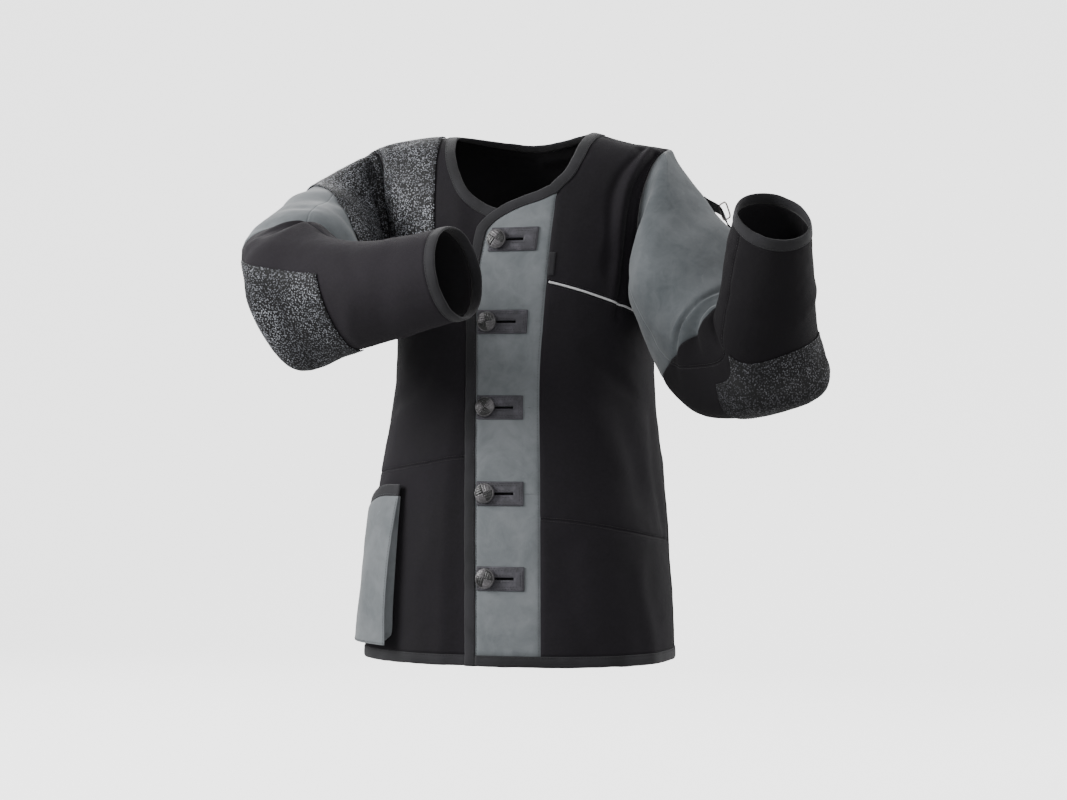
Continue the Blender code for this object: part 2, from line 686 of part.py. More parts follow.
def right_front(finishes):
    arm = RIGHT_ARM
    patch_rows = PATCH_TURN // ARMHOLE_STEP
    patch_columns = 5
    patch_foot = across(armhole_places(arm, PATCH_TURN), PATCH_SEAM[0], patch_columns)
    patch_side = seam_edge(PATCH_SEAM, PATCH_BOTTOM, 0.0, patch_rows)
    shoulder = across(armhole_places(arm, 0), PATCH_SEAM[-1], patch_columns)
    patch = coons(patch_foot, shoulder, armhole_line(arm, PATCH_TURN, 0), patch_side)

    stub_rows = 2
    neck = sample(RIGHT_NECKLINE, patch_rows - stub_rows)
    chest_top = across(PATCH_SEAM[-1], neck[-1], CHEST_COLUMNS)
    chest_foot = across(PATCH_SEAM[0], (UNDERLAP_ANGLE, PATCH_BOTTOM), CHEST_COLUMNS)
    chest_edge = stack(across(chest_foot[-1], neck[0], stub_rows), neck)
    chest = coons(chest_foot, chest_top, patch_side, chest_edge)

    line = np.array(RIGHT_WAIST[::-1], float)
    middle_angle = PATCH_SEAM[0].angle
    angles = stack(
        np.linspace(-SIDE_SEAM, middle_angle, patch_columns + 1),
        np.linspace(middle_angle, UNDERLAP_ANGLE, CHEST_COLUMNS + 1),
    )
    waist = hermite(line[:, 0], line, angles)
    side = stack(
        upright(-SIDE_SEAM, waist[0][1], arm.armhole[6].level, SIDE_ROWS),
        armhole_line(arm, 180, PATCH_TURN),
    )
    rows = len(side) - 1
    middle = across(waist[patch_columns], PATCH_SEAM[0], rows)
    under_patch = coons(waist[: patch_columns + 1], patch_foot, side, middle)
    edge = across(waist[-1], chest_foot[-1], rows)
    under_chest = coons(waist[patch_columns:], chest_foot, middle, edge)

    lower = np.concatenate([under_patch, under_chest[:, 1:]], axis=1)
    upper = np.concatenate([patch, chest[:, 1:]], axis=1)
    body = np.concatenate([lower, upper[1:]])
    foot = waist.copy()
    foot[:, 1] = PANEL_FOOT
    skirt = coons(
        foot,
        waist,
        across(foot[0], waist[0], SKIRT_ROWS),
        across(foot[-1], waist[-1], SKIRT_ROWS),
    )
    panel("front_right_upper", body, right_front_form, finishes["canvas"])
    panel("front_right_skirt", skirt, right_front_form, finishes["canvas"])
    patch[:-1, 0] += (patch[:-1, 1] - patch[:-1, 0]) * PATCH_SETBACK
    panel(
        "patch_shoulder",
        patch,
        right_front_form,
        finishes["grip"],
        out=PROUD + PATCH,
        thickness=PATCH,
        gap=PATCH_GAP,
    )
    return {"neck": neck[::-1], "foot": foot}


def back(finishes):
    turned_left = armhole_line(LEFT_ARM, 180, 360)
    turned_right = armhole_line(RIGHT_ARM, 180, 360)
    turned_right[:, 0] += 360
    left_waist, right_waist = LEFT_WAIST[-1].level, RIGHT_WAIST[-1].level
    armpit = LEFT_ARMHOLE[6].level
    left = stack(
        upright(SIDE_SEAM, PANEL_FOOT, left_waist, SKIRT_ROWS),
        upright(SIDE_SEAM, left_waist, armpit, SIDE_ROWS),
        turned_left,
    )
    right = stack(
        upright(360 - SIDE_SEAM, PANEL_FOOT, right_waist, SKIRT_ROWS),
        upright(360 - SIDE_SEAM, right_waist, armpit, SIDE_ROWS),
        turned_right,
    )
    neck = sample(BACK_NECKLINE, BACK_NECK_COLUMNS)
    top = stack(
        across(turned_left[-1], neck[0], FRONT_COLUMNS),
        neck,
        across(neck[-1], turned_right[-1], FRONT_COLUMNS),
    )
    foot = across((SIDE_SEAM, PANEL_FOOT), (360 - SIDE_SEAM, PANEL_FOOT), len(top) - 1)
    panel("back", coons(foot, top, left, right), torso, finishes["canvas"])
    return {"neck": neck, "foot": foot}


# ---- Placket, tabs and buttons

# Columns of the placket, as shares of its width. A slot runs from the second to the sixth.
PLACKET_SHARES = (0.0, 0.14, 0.25, 0.36, 0.48, 0.60, 0.80, 1.0)
SLOT_START, SLOT_END = 1, 5
Tab = namedtuple("Tab", "height start button end")
TABS = [
    Tab(height=-0.592, start=0.03, button=0.175, end=0.75),
    Tab(height=-0.482, start=0.03, button=0.170, end=0.74),
    Tab(height=-0.370, start=0.03, button=0.170, end=0.74),
    Tab(height=-0.257, start=0.03, button=0.185, end=0.76),
    Tab(height=-0.148, start=0.10, button=0.205, end=0.80),
]


# A button's section, as shares of its radius and height
DomeRow = namedtuple("DomeRow", "radius height")
BUTTON_DOME = [
    DomeRow(radius=0.90, height=0.00),
    DomeRow(radius=1.00, height=0.22),
    DomeRow(radius=0.96, height=0.55),
    DomeRow(radius=0.70, height=0.88),
    DomeRow(radius=0.32, height=1.00),
]


def placket_row(height, shares):
    """Places across the placket at a height, at shares of the way from its edge to its seam."""
    level = level_of(height)
    start, end = on_line(FRONT_EDGE, level), on_line(PLACKET_SEAM, level)
    return start + (end - start) * np.asarray(shares)[:, None]


def placket(finishes):
    heights = [PANEL_FOOT, (PANEL_FOOT + TABS[0].height) / 2]
    holes = []
    for tab, above in zip(TABS, TABS[1:] + [None]):
        holes.append((len(heights), len(heights) + 1, SLOT_START, SLOT_END))
        heights += [tab.height - SLOT_HALF_HEIGHT, tab.height + SLOT_HALF_HEIGHT]
        if above:
            rise = above.height - tab.height
            heights += [tab.height + rise / 3, tab.height + rise * 2 / 3]
    straight = np.array([placket_row(height, PLACKET_SHARES) for height in heights])
    neck = sample(LEFT_NECKLINE, 0, spacing=PLACKET_SHARES)
    last = straight[-1]
    rounded = coons(last, neck, across(last[0], neck[0], 2), across(last[-1], neck[-1], 2))
    places = np.concatenate([straight, rounded[1:]])
    panel("placket", places, torso, finishes["suede"], holes=holes)
    return {"neck": neck, "foot": straight[0], "edge": places[:, 0]}


def tabs_and_buttons(finishes):
    under = 2 * PROUD
    for number, tab in enumerate(reversed(TABS), start=1):
        shares = [tab.start, *PLACKET_SHARES[SLOT_START : SLOT_END + 1], tab.end]
        offsets = (-TAB_HALF_HEIGHT, -SLOT_HALF_HEIGHT, SLOT_HALF_HEIGHT, TAB_HALF_HEIGHT)
        places = np.array([placket_row(tab.height + offset, shares) for offset in offsets])
        panel(
            f"tab_{number}",
            places,
            torso,
            finishes["tab leather"],
            out=under / 2 + PATCH,
            thickness=PATCH,
            holes=[(1, 2, SLOT_START, SLOT_END)],
            gap=0.0,
        )
        place = placket_row(tab.height, [tab.button])[0]
        seat, outward = right_front_form(place[None, None])
        foot = seat[0, 0] + outward[0, 0] * SEAM
        neck = UNDERLAP_DROP + under + PATCH + BUTTON_GAP - SEAM
        dome = [(BUTTON_RADIUS * row.radius, neck + BUTTON_HEIGHT * row.height) for row in BUTTON_DOME]
        profile = [(0, 0), (SHANK_RADIUS, 0), (SHANK_RADIUS, neck), *dome, (0, neck + BUTTON_HEIGHT)]
        leather = finishes["button leather"]
        lathe(f"button_{number}", profile, foot, outward[0, 0], BUTTON_SIDES, leather)


# ---- Edges, piping and label

PIPING_WIDTH = 0.0028
PIPING_HEIGHT = 0.0016
LABEL_TOP = -0.166
LABEL_BOTTOM = -0.196
LABEL_START = 0.2  # degrees round the torso, from the placket's seam
LABEL_END = 2.6
LABEL_THICKNESS = 0.0010


def drop_repeats(points, outward, closer_than=0.002):
    kept = [0]
    for k in range(1, len(points)):
        if np.linalg.norm(points[k] - points[kept[-1]]) > closer_than:
            kept.append(k)
    return points[kept], outward[kept]


def on_form(form, places):
    points, outward = form(np.asarray(places)[None])
    return points[0], outward[0]


def bindings(finishes, strip, left, right, behind):
    foot_edge = strip["edge"][0] - [0, TAPE_WIDTH + SEAM]
    runs = [
        on_form(torso, np.concatenate([[foot_edge], strip["edge"]])),
        on_form(torso, strip["neck"]),
        on_form(torso, left["neck"]),
        on_form(torso, behind["neck"]),
        on_form(right_front_form, right["neck"]),
    ]
    points, outward = drop_repeats(*(np.concatenate(part) for part in zip(*runs)))
    ribbon("binding_front_and_neck", points, outward, 1, finishes["tape"])
    runs = [
        on_form(torso, strip["foot"]),
        on_form(torso, left["foot"]),
        on_form(torso, behind["foot"]),
        on_form(right_front_form, right["foot"]),
    ]
    points, outward = drop_repeats(*(np.concatenate(part) for part in zip(*runs)))
    ribbon("binding_hem", points, outward, -1, finishes["tape"])


def piping_and_label(finishes, piping):
    points, outward = on_form(torso, piping[:-1])
    ahead = np.gradient(points, axis=0)
    up = unit(np.cross(outward, ahead))
    lifted = points + outward * (PROUD + PIPING_HEIGHT)
    outer = np.stack([lifted - up * PIPING_WIDTH / 2, lifted + up * PIPING_WIDTH / 2], axis=1)
    wall("piping_left", outer, np.stack([outward, outward], axis=1), PIPING_HEIGHT, finishes["piping"])
    rows = []
    for height in np.linspace(LABEL_BOTTOM, LABEL_TOP, 3):
        level = level_of(height, 18)
        start = on_line(PLACKET_SEAM, level)
        rows.append([start + (LABEL_START, 0), start + (LABEL_END, 0)])
    panel(
        "label",
        np.array(rows),
        torso,
        finishes["tape"],
        out=PROUD + LABEL_THICKNESS,
        thickness=LABEL_THICKNESS,
    )


# ---- Pocket on the right hip

POCKET_TOP = -0.474
POCKET_FOOT = -0.684
POCKET_FRONT = -39
POCKET_BACK = -104
POCKET_SCOOP = 0.028  # how far the mouth dips between its corners
POCKET_CLOTH = 0.0016
POCKET_TAPE = 0.0026
GUSSET_INSET = 1.3  # degrees round the torso
GUSSET_RISE = 0.004
GUSSET_FOLD = 0.005
GUSSET_GAP = 0.0009  # covers the flats between the points of its neighbours
GUSSET_CORNER = [(0.0, 0.012), (2.4, 0.004), (4.6, 0.0)]  # degrees in from a side, height over the foot
GUSSET_FOOT_START = 9.5  # degrees in from a side
GUSSET_SIDE_POINTS = 7
GUSSET_FOOT_POINTS = 8
POCKET_FLAT = 15  # degrees at the back over which the depth doesn't grow
# How far the pocket stands off the skirt. It hangs open at the front and lies flatter behind.
PocketRow = namedtuple("PocketRow", "level front_depth back_depth")
POCKET = [
    PocketRow(level=POCKET_FOOT, front_depth=0.019, back_depth=0.008),
    PocketRow(level=-0.640, front_depth=0.021, back_depth=0.008),
    PocketRow(level=-0.560, front_depth=0.018, back_depth=0.007),
    PocketRow(level=POCKET_TOP, front_depth=0.008, back_depth=0.006),
]


def pocket_depth(places):
    front = column(POCKET, "level", "front_depth", places[..., 1])
    back = column(POCKET, "level", "back_depth", places[..., 1])
    share = smooth_step(places[..., 0], POCKET_BACK + POCKET_FLAT, POCKET_FRONT)
    return back + (front - back) * share


def pocket_mouth(angle):
    share = (angle - POCKET_BACK) / (POCKET_FRONT - POCKET_BACK)
    return POCKET_TOP - POCKET_SCOOP * np.sin(math.pi * share) ** 4


def pocket(finishes):
    columns, rows = 10, 8
    angles = np.linspace(POCKET_BACK, POCKET_FRONT, columns + 1)
    mouth = pocket_mouth(angles)
    foot = np.full(columns + 1, POCKET_FOOT)
    for name, low, high, count, cloth, material in [
        ("pocket_face", foot, mouth - TAPE_WIDTH, rows, POCKET_CLOTH, "suede"),
        ("pocket_binding", mouth - TAPE_WIDTH + SEAM, mouth, 1, POCKET_TAPE, "tape"),
    ]:
        shares = np.linspace(0, 1, count + 1)[:, None]
        levels = low + (high - low) * shares
        places = np.stack([np.broadcast_to(angles, levels.shape), levels], axis=-1)
        points, outward = torso(places)
        lift = pocket_depth(places) + (cloth - POCKET_CLOTH) / 2
        wall(name, points + outward * lift[..., None], outward, cloth, finishes[material])

    # The gusset runs down the back edge, along the foot and up the front edge, with one pleat
    inset_foot = POCKET_FOOT + GUSSET_RISE
    back_edge, front_edge = POCKET_BACK + GUSSET_INSET, POCKET_FRONT - GUSSET_INSET
    sides = []
    for edge, step in ((back_edge, 1), (front_edge, -1)):
        levels = np.linspace(
            pocket_mouth(edge) - TAPE_WIDTH, inset_foot + GUSSET_CORNER[0][1], GUSSET_SIDE_POINTS
        )
        side = [(edge, level) for level in levels]
        side += [(edge + step * turn, inset_foot + rise) for turn, rise in GUSSET_CORNER[1:]]
        sides.append(side)
    angles = np.linspace(
        back_edge + GUSSET_FOOT_START, front_edge - GUSSET_FOOT_START, GUSSET_FOOT_POINTS
    )
    middle = [(angle, inset_foot) for angle in angles]
    route = np.array(sides[0] + middle + sides[1][::-1])
    points, outward = on_form(torso, route)
    away = unit(np.cross(np.gradient(points, axis=0), outward))
    full = pocket_depth(route) - POCKET_CLOTH - GUSSET_GAP
    lines = []
    for share in (0.0, 0.5, 1.0):
        height = GUSSET_GAP + (full - GUSSET_GAP) * share
        tuck = GUSSET_FOLD * (1 - abs(2 * share - 1))
        lines.append(points + outward * height[:, None] - away * tuck)
    lattice = np.stack(lines, axis=1)
    facing = np.stack([away] * 3, axis=1)
    wall("pocket_gusset", lattice, facing, POCKET_CLOTH, finishes["suede"])


# ---- Sleeves

# Lines round each sleeve as stations at turns: the end of the head patch, the seam between the upper
# sleeve and the forearm, and the elbow patch's two edges
SleeveLine = namedtuple("SleeveLine", "turn head seam patch_start patch_end")
RIGHT_LINES = [
    SleeveLine(turn=0, head=0.090, seam=0.215, patch_start=0.242, patch_end=0.318),
    SleeveLine(turn=45, head=0.145, seam=0.215, patch_start=0.242, patch_end=0.305),
    SleeveLine(turn=90, head=0.185, seam=0.215, patch_start=0.242, patch_end=0.300),
    SleeveLine(turn=180, head=0.110, seam=0.208, patch_start=0.240, patch_end=0.322),
    SleeveLine(turn=270, head=0.080, seam=0.200, patch_start=0.236, patch_end=0.333),
]
LEFT_LINES = [
    SleeveLine(turn=0, head=0.085, seam=0.205, patch_start=0.252, patch_end=0.300),
    SleeveLine(turn=90, head=0.110, seam=0.252, patch_start=0.276, patch_end=0.300),
    SleeveLine(turn=150, head=0.110, seam=0.248, patch_start=0.268, patch_end=0.288),
    SleeveLine(turn=180, head=0.100, seam=0.212, patch_start=0.256, patch_end=0.286),
    SleeveLine(turn=210, head=0.090, seam=0.192, patch_start=0.251, patch_end=0.296),
    SleeveLine(turn=270, head=0.085, seam=0.190, patch_start=0.248, patch_end=0.318),
]
BAND_ROWS = (4, 4, 2, 5, 5)  # rows from each line to the next, the armhole and the foot included

SleeveFold = namedtuple("SleeveFold", "turn station slant reach width depth")
SLEEVE_FOLDS = {
    -1: [
        SleeveFold(turn=70, station=0.190, slant=0.010, reach=50, width=0.014, depth=0.007),
        SleeveFold(turn=80, station=0.222, slant=0.000, reach=45, width=0.010, depth=-0.006),
        SleeveFold(turn=20, station=0.150, slant=-0.030, reach=45, width=0.014, depth=-0.005),
        SleeveFold(turn=330, station=0.120, slant=0.030, reach=35, width=0.016, depth=0.004),
        SleeveFold(turn=140, station=0.150, slant=0.020, reach=40, width=0.018, depth=-0.006),
        SleeveFold(turn=200, station=0.230, slant=0.010, reach=40, width=0.014, depth=0.005),
        SleeveFold(turn=280, station=0.400, slant=0.020, reach=50, width=0.020, depth=-0.003),
    ],
    1: [
        SleeveFold(turn=110, station=0.205, slant=0.020, reach=50, width=0.014, depth=0.004),
        SleeveFold(turn=120, station=0.235, slant=0.010, reach=50, width=0.012, depth=-0.004),
        SleeveFold(turn=60, station=0.110, slant=0.020, reach=50, width=0.020, depth=-0.005),
        SleeveFold(turn=150, station=0.150, slant=-0.020, reach=40, width=0.018, depth=0.004),
        SleeveFold(turn=200, station=0.235, slant=0.010, reach=40, width=0.014, depth=0.005),
        SleeveFold(turn=300, station=0.180, slant=0.010, reach=45, width=0.018, depth=-0.005),
    ],
}


def line_stations(lines, name, turns):
    """Stations of a closed line round a sleeve at any turns."""
    turn = [line.turn for line in lines]
    station = [getattr(line, name) for line in lines]
    turn = [turn[-1] - 360] + turn + [turn[0] + 360, turn[1] + 360]
    station = [station[-1]] + station + station[:2]
    return hermite(turn, station, np.asarray(turns, float) % 360)


def sleeve_rows(arm, lines, turns):
    """Stations of every row of a sleeve's lattice, with the row at which each line lies."""
    foot = np.full(len(turns), arm.rings[-1].station - TAPE_WIDTH - SEAM)
    names = SleeveLine._fields[1:]
    edges = [np.zeros(len(turns))] + [line_stations(lines, name, turns) for name in names] + [foot]
    rows, marks = [edges[0]], {"armhole": 0}
    for start, end, count, name in zip(edges, edges[1:], BAND_ROWS, [*names, "foot"]):
        rows += [start + (end - start) * k / count for k in range(1, count + 1)]
        marks[name] = len(rows) - 1
    return np.array(rows), marks


def sleeve_points(arm, turns, stations):
    """Points and outward normals of a sleeve's lattice, set against the armhole at its first row."""
    places = np.stack([np.broadcast_to(turns, stations.shape), stations], axis=-1)
    points, outward = sleeve(arm, places)
    if stations[0, 0] == 0:
        seam, torso_out = torso(armhole_places(arm, (np.asarray(turns, float) - arm.twist) % 360))
        loop = torso(armhole_places(arm, np.arange(0.0, 360, 30)))[0]
        away = loop.mean(axis=0) - seam
        away = unit(away - torso_out * np.sum(away * torso_out, axis=-1, keepdims=True))
        first = unit(outward[0] + torso_out)
        lean = np.maximum(np.sum(first * away, axis=-1, keepdims=True), 0)
        outward[0] = unit(first - away * lean)
        points[0] = seam + away * EDGE_GAP
    return points, outward


def make_sleeve(name, arm, lines, finishes, top_turn):
    halves = {
        "inner": np.arange(top_turn, 181, ARMHOLE_STEP),
        "outer": np.arange(180, 361 + top_turn, ARMHOLE_STEP),
    }
    for half, turns in halves.items():
        stations, marks = sleeve_rows(arm, lines, turns)
        points, outward = sleeve_points(arm, turns, stations)
        seam = marks["seam"]
        upper, lower = slice(0, seam + 1), slice(seam, None)
        pulled = pull_in(points[upper], outward[upper], SEAM / 2)
        wall(f"sleeve_{name}_{half}", pulled, outward[upper], CLOTH, finishes["suede"])
        pulled = pull_in(points[lower], outward[lower], SEAM / 2)
        wall(f"forearm_{name}_{half}", pulled, outward[lower], CLOTH, finishes["charcoal"])
    turns = np.arange(0, 360, ARMHOLE_STEP)
    foot = sleeve_rows(arm, lines, turns)[0][-1]
    edge, outward = on_form(partial(sleeve, arm), np.stack([turns, foot], axis=-1))
    ribbon(f"binding_cuff_{name}", edge, outward, arm.side, finishes["tape"], closed=True)


def sleeve_patch(name, arm, lines, finishes, turns, first, last):
    """A patch laid on a sleeve, between two of its rows and over a run of turns."""
    stations, marks = sleeve_rows(arm, lines, turns)
    points, outward = sleeve_points(arm, turns, stations)
    rows = slice(marks[first] + (first == "armhole"), marks[last] + 1)
    wall(name, points[rows] + outward[rows] * (PROUD + PATCH), outward[rows], PATCH, finishes["grip"])


# ---- Strap and buckle on top of the left upper arm

STRAP_TURN = 27
STRAP_HALF_TURN = 7
STRAP_START = 0.070
STRAP_END = 0.118
STRAP_RISE = 0.008
STRAP_THICKNESS = 0.0016
WIRE_RADIUS = 0.0011
BUCKLE_WIDTH = 0.030
BUCKLE_DEPTH = 0.011
BUCKLE_BEND = 0.6  # radians either side of a corner
BUCKLE_SQUARENESS = 0.25  # 1 would be an oval, and 0 a rectangle


def strap_and_buckle(finishes):
    arm = LEFT_ARM
    middle = 4
    shares = np.linspace(0, 1, 2 * middle + 1)
    stations = STRAP_START + (STRAP_END - STRAP_START) * shares
    turns = STRAP_TURN + STRAP_HALF_TURN * np.array([-1.0, 1.0])
    places = np.stack(np.broadcast_arrays(turns, stations[:, None]), axis=-1)
    points, outward = sleeve(arm, places)
    rise = 3 * PROUD + STRAP_THICKNESS + STRAP_RISE * np.sin(np.pi * shares) ** 2
    lifted = points + outward * rise[:, None, None]
    facing = unit(np.cross(np.gradient(lifted, axis=0), (points[:, 1] - points[:, 0])[:, None]))
    facing *= np.sign(np.sum(facing * outward, axis=-1, keepdims=True))
    wall("strap_left", lifted, facing, STRAP_THICKNESS, finishes["webbing"])
    # The ring hangs from the strap, so one of its bars lies just under the arch
    wide = unit(points[middle, 1] - points[middle, 0])
    deep = unit(facing[middle].mean(axis=0))
    under = STRAP_THICKNESS + SEAM + WIRE_RADIUS
    centre = lifted[middle].mean(axis=0) + deep * (BUCKLE_DEPTH / 2 - under)
    curve = bpy.data.curves.new("buckle_left", "CURVE")
    curve.dimensions = "3D"
    curve.bevel_depth = WIRE_RADIUS
    curve.bevel_resolution = 1
    spline = curve.splines.new("POLY")
    ring = []
    for corner in range(4):
        for step in (-BUCKLE_BEND, 0.0, BUCKLE_BEND):
            turn = (corner + 0.5) * math.pi / 2 + step
            sideways = math.copysign(abs(math.cos(turn)) ** BUCKLE_SQUARENESS, math.cos(turn))
            outwards = math.copysign(abs(math.sin(turn)) ** BUCKLE_SQUARENESS, math.sin(turn))
            ring.append(centre + wide * BUCKLE_WIDTH / 2 * sideways + deep * BUCKLE_DEPTH / 2 * outwards)
    spline.points.add(len(ring) - 1)
    for point, place in zip(spline.points, ring):
        point.co = (*place, 1)
    spline.use_cyclic_u = True
    curve.materials.append(finishes["wire"])
    piece = bpy.data.objects.new("buckle_left", curve)
    bpy.context.scene.collection.objects.link(piece)


def main():
    for old in list(bpy.data.objects):
        bpy.data.objects.remove(old)
    finishes = make_finishes()
    strip = placket(finishes)
    left = left_front(finishes)
    right = right_front(finishes)
    behind = back(finishes)
    bindings(finishes, strip, left, right, behind)
    piping_and_label(finishes, left["piping"])
    tabs_and_buttons(finishes)
    pocket(finishes)
    make_sleeve("right", RIGHT_ARM, RIGHT_LINES, finishes, top_turn=30)
    make_sleeve("left", LEFT_ARM, LEFT_LINES, finishes, top_turn=0)
    patches = [
        ("patch_head_right", RIGHT_ARM, RIGHT_LINES, (-45, 135), "armhole", "head"),
        ("patch_elbow_right", RIGHT_ARM, RIGHT_LINES, (195, 315), "patch_start", "patch_end"),
        ("patch_elbow_left", LEFT_ARM, LEFT_LINES, (195, 330), "patch_start", "patch_end"),
    ]
    for name, arm, lines, (turn, end_turn), first, last in patches:
        turns = np.arange(turn, end_turn + 1, ARMHOLE_STEP)
        sleeve_patch(name, arm, lines, finishes, turns, first, last)
    strap_and_buckle(finishes)


main()
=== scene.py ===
import math

import bpy
import numpy as np
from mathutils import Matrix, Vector, noise


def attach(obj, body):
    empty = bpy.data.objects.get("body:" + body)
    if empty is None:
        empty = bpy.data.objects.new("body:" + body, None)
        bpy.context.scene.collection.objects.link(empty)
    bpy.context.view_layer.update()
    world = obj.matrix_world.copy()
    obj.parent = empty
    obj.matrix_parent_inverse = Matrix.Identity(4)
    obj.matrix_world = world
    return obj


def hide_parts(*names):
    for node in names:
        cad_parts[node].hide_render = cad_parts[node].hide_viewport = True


# Shooting jacket, filled out as if worn. Metres, +Z up, the chest faces -Y.
# A place on the body is (angle, level): angle 0 is the centre front, 90 the left side.
# A place on a sleeve is (turn, station): turn 90 is the inside of the elbow, 270 the outside.

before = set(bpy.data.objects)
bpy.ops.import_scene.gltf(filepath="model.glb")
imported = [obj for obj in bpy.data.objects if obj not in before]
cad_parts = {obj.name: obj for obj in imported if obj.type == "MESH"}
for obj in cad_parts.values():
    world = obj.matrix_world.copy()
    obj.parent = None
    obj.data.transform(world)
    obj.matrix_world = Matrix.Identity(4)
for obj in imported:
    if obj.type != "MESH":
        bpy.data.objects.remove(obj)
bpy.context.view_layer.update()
print("frame loaded")

cloth = {
    "thickness": 0.002,
    "patchThickness": 0.0016,
    "patchOut": 0.0024,  # how far a patch stands off the skin
    "patchSetback": 0.3,  # how far it stays off the armhole, as a share of a column
    "proud": 0.0004,
    "tapeWidth": 0.0145,
    "degree": 0.0031,  # length of a degree round the body
    "turnDegree": 0.0016,  # length of a degree round a sleeve
    "mesh": 0.0045,  # size of a face
    "backMesh": 0.0052,
    "patchMesh": 0.004,
    "sleeveMesh": 0.003,
    "rimReach": 0.35,  # how far a rim bulges, as a share of the thickness
    "seamGap": 0.0003,
    "seamDip": 0.0011,
    "seamWidth": 0.0032,
    "pucker": 0.0008,
    "puckerReach": 0.012,
    "puckerScale": 85,
}
sheetLook = {"leastShare": 0.31, "leastWidth": 0.010}
everyEdge = ("foot", "head", "left", "right")

# Body form

body = {
    "armpit": -0.270,
    "hem": -0.706,
    "boxiness": 0.09,
    "topRoundness": 0.16,
    "side": 96,
    # level, half width, front depth, back depth, middle
    "rows": [
        (-0.730, 0.213, 0.150, 0.150, -0.023), (-0.600, 0.206, 0.149, 0.146, -0.018),
        (-0.450, 0.193, 0.140, 0.135, -0.012), (-0.360, 0.181, 0.134, 0.130, 0.000),
        (-0.270, 0.178, 0.130, 0.128, 0.008), (-0.150, 0.198, 0.130, 0.128, 0.012),
        (0.000, 0.226, 0.130, 0.128, 0.012),
    ],
    # x, height of the shoulder ridge
    "ridge": [
        (-0.24, -0.024), (-0.20, -0.008), (-0.15, 0.000), (-0.10, 0.002), (0.00, 0.003), (0.10, 0.001),
        (0.14, -0.010), (0.20, -0.022), (0.24, -0.032),
    ],
    # angle, level, to angle, to level, depth, width
    "folds": [
        (56, -0.060, 46, -0.190, 0.005, 0.016), (52, -0.330, 66, -0.480, -0.004, 0.028),
        (-56, -0.500, -60, -0.690, 0.004, 0.030), (132, -0.110, 126, -0.240, -0.008, 0.020),
        (-132, -0.110, -126, -0.240, -0.008, 0.020), (150, -0.560, 152, -0.700, 0.007, 0.035),
        (-150, -0.560, -152, -0.700, 0.007, 0.035),
    ],
    # softer dents and rolls that only the cloth shows
    "dents": [
        (57, -0.070, 53, -0.250, -0.0060, 0.0065), (52, -0.060, 48, -0.235, 0.0035, 0.0070),
        (47, -0.055, 43, -0.215, -0.0040, 0.0070), (40, -0.300, 62, -0.345, -0.0022, 0.014),
        (30, -0.360, 58, -0.455, 0.0020, 0.018), (26, -0.560, 34, -0.690, -0.0020, 0.018),
        (62, -0.580, 66, -0.695, 0.0030, 0.016), (80, -0.380, 84, -0.520, -0.0025, 0.015),
        (-34, -0.330, -62, -0.375, -0.0022, 0.013), (-24, -0.480, -30, -0.690, 0.0018, 0.016),
        (-72, -0.350, -78, -0.470, -0.0025, 0.014), (-72, -0.030, -73, -0.200, -0.0060, 0.0100),
        (-60, -0.050, -64, -0.150, 0.0030, 0.0100), (-52, -0.120, -58, -0.235, 0.0022, 0.012),
        (-44, -0.040, -60, -0.060, -0.0018, 0.010), (120, -0.330, 150, -0.380, -0.0030, 0.014),
        (-120, -0.320, -146, -0.385, -0.0030, 0.014), (165, -0.090, 195, -0.095, -0.0026, 0.012),
        (110, -0.450, 128, -0.600, 0.0028, 0.018), (-112, -0.430, -126, -0.585, 0.0028, 0.018),
        (178, -0.440, 183, -0.690, -0.0030, 0.022), (140, -0.160, 160, -0.250, 0.0030, 0.014),
        (-142, -0.150, -162, -0.255, 0.0030, 0.014),
    ],
}

underlap = {"angle": 12, "drop": 0.006, "start": -19, "end": -10}

lines = {
    "placketSeam": [(17.2, -0.740), (17.2, -0.464), (16.9, -0.288), (18.4, -0.221), (19.4, -0.158)],
    "frontEdge": [
        (-4.7, -0.740), (-5.0, -0.660), (-5.6, -0.568), (-6.7, -0.464), (-8.6, -0.360), (-9.7, -0.281),
        (-9.6, -0.240), (-7.7, -0.208), (-6.2, -0.193),
    ],
    "leftNeckline": [
        (-6.2, -0.193), (-2.9, -0.185), (2.0, -0.177), (8.3, -0.170), (14.3, -0.165), (19.4, -0.158),
    ],
    "leftNeckSide": [
        (19.4, -0.158), (23.7, -0.142), (26.1, -0.123), (27.3, -0.089), (27.6, -0.049), (27.6, 0.000),
    ],
    "rightNeckline": [
        (12.0, -0.184), (4.0, -0.184), (-5.5, -0.179), (-10.6, -0.174), (-16.2, -0.163), (-21.4, -0.139),
        (-24.6, -0.106), (-26.0, -0.065), (-26.6, 0.000),
    ],
    "backNeckline": [
        (152.4, 0.000), (156.0, -0.028), (166.0, -0.058), (180.0, -0.072), (194.0, -0.055),
        (203.5, -0.022), (206.6, 0.000),
    ],
    "patchSeam": [(-29.0, -0.250), (-28.6, -0.130), (-28.6, 0.000)],
    "rightWaist": [(12, -0.430), (-11.9, -0.434), (-33.9, -0.446), (-68.9, -0.458), (-96, -0.462)],
    "leftWaist": [(17.2, -0.514), (32.3, -0.519), (50.5, -0.529), (74.2, -0.541), (96, -0.548)],
    "pipingStart": (18.2, -0.234),
    "patchBottom": -0.250,
}

# Sleeves

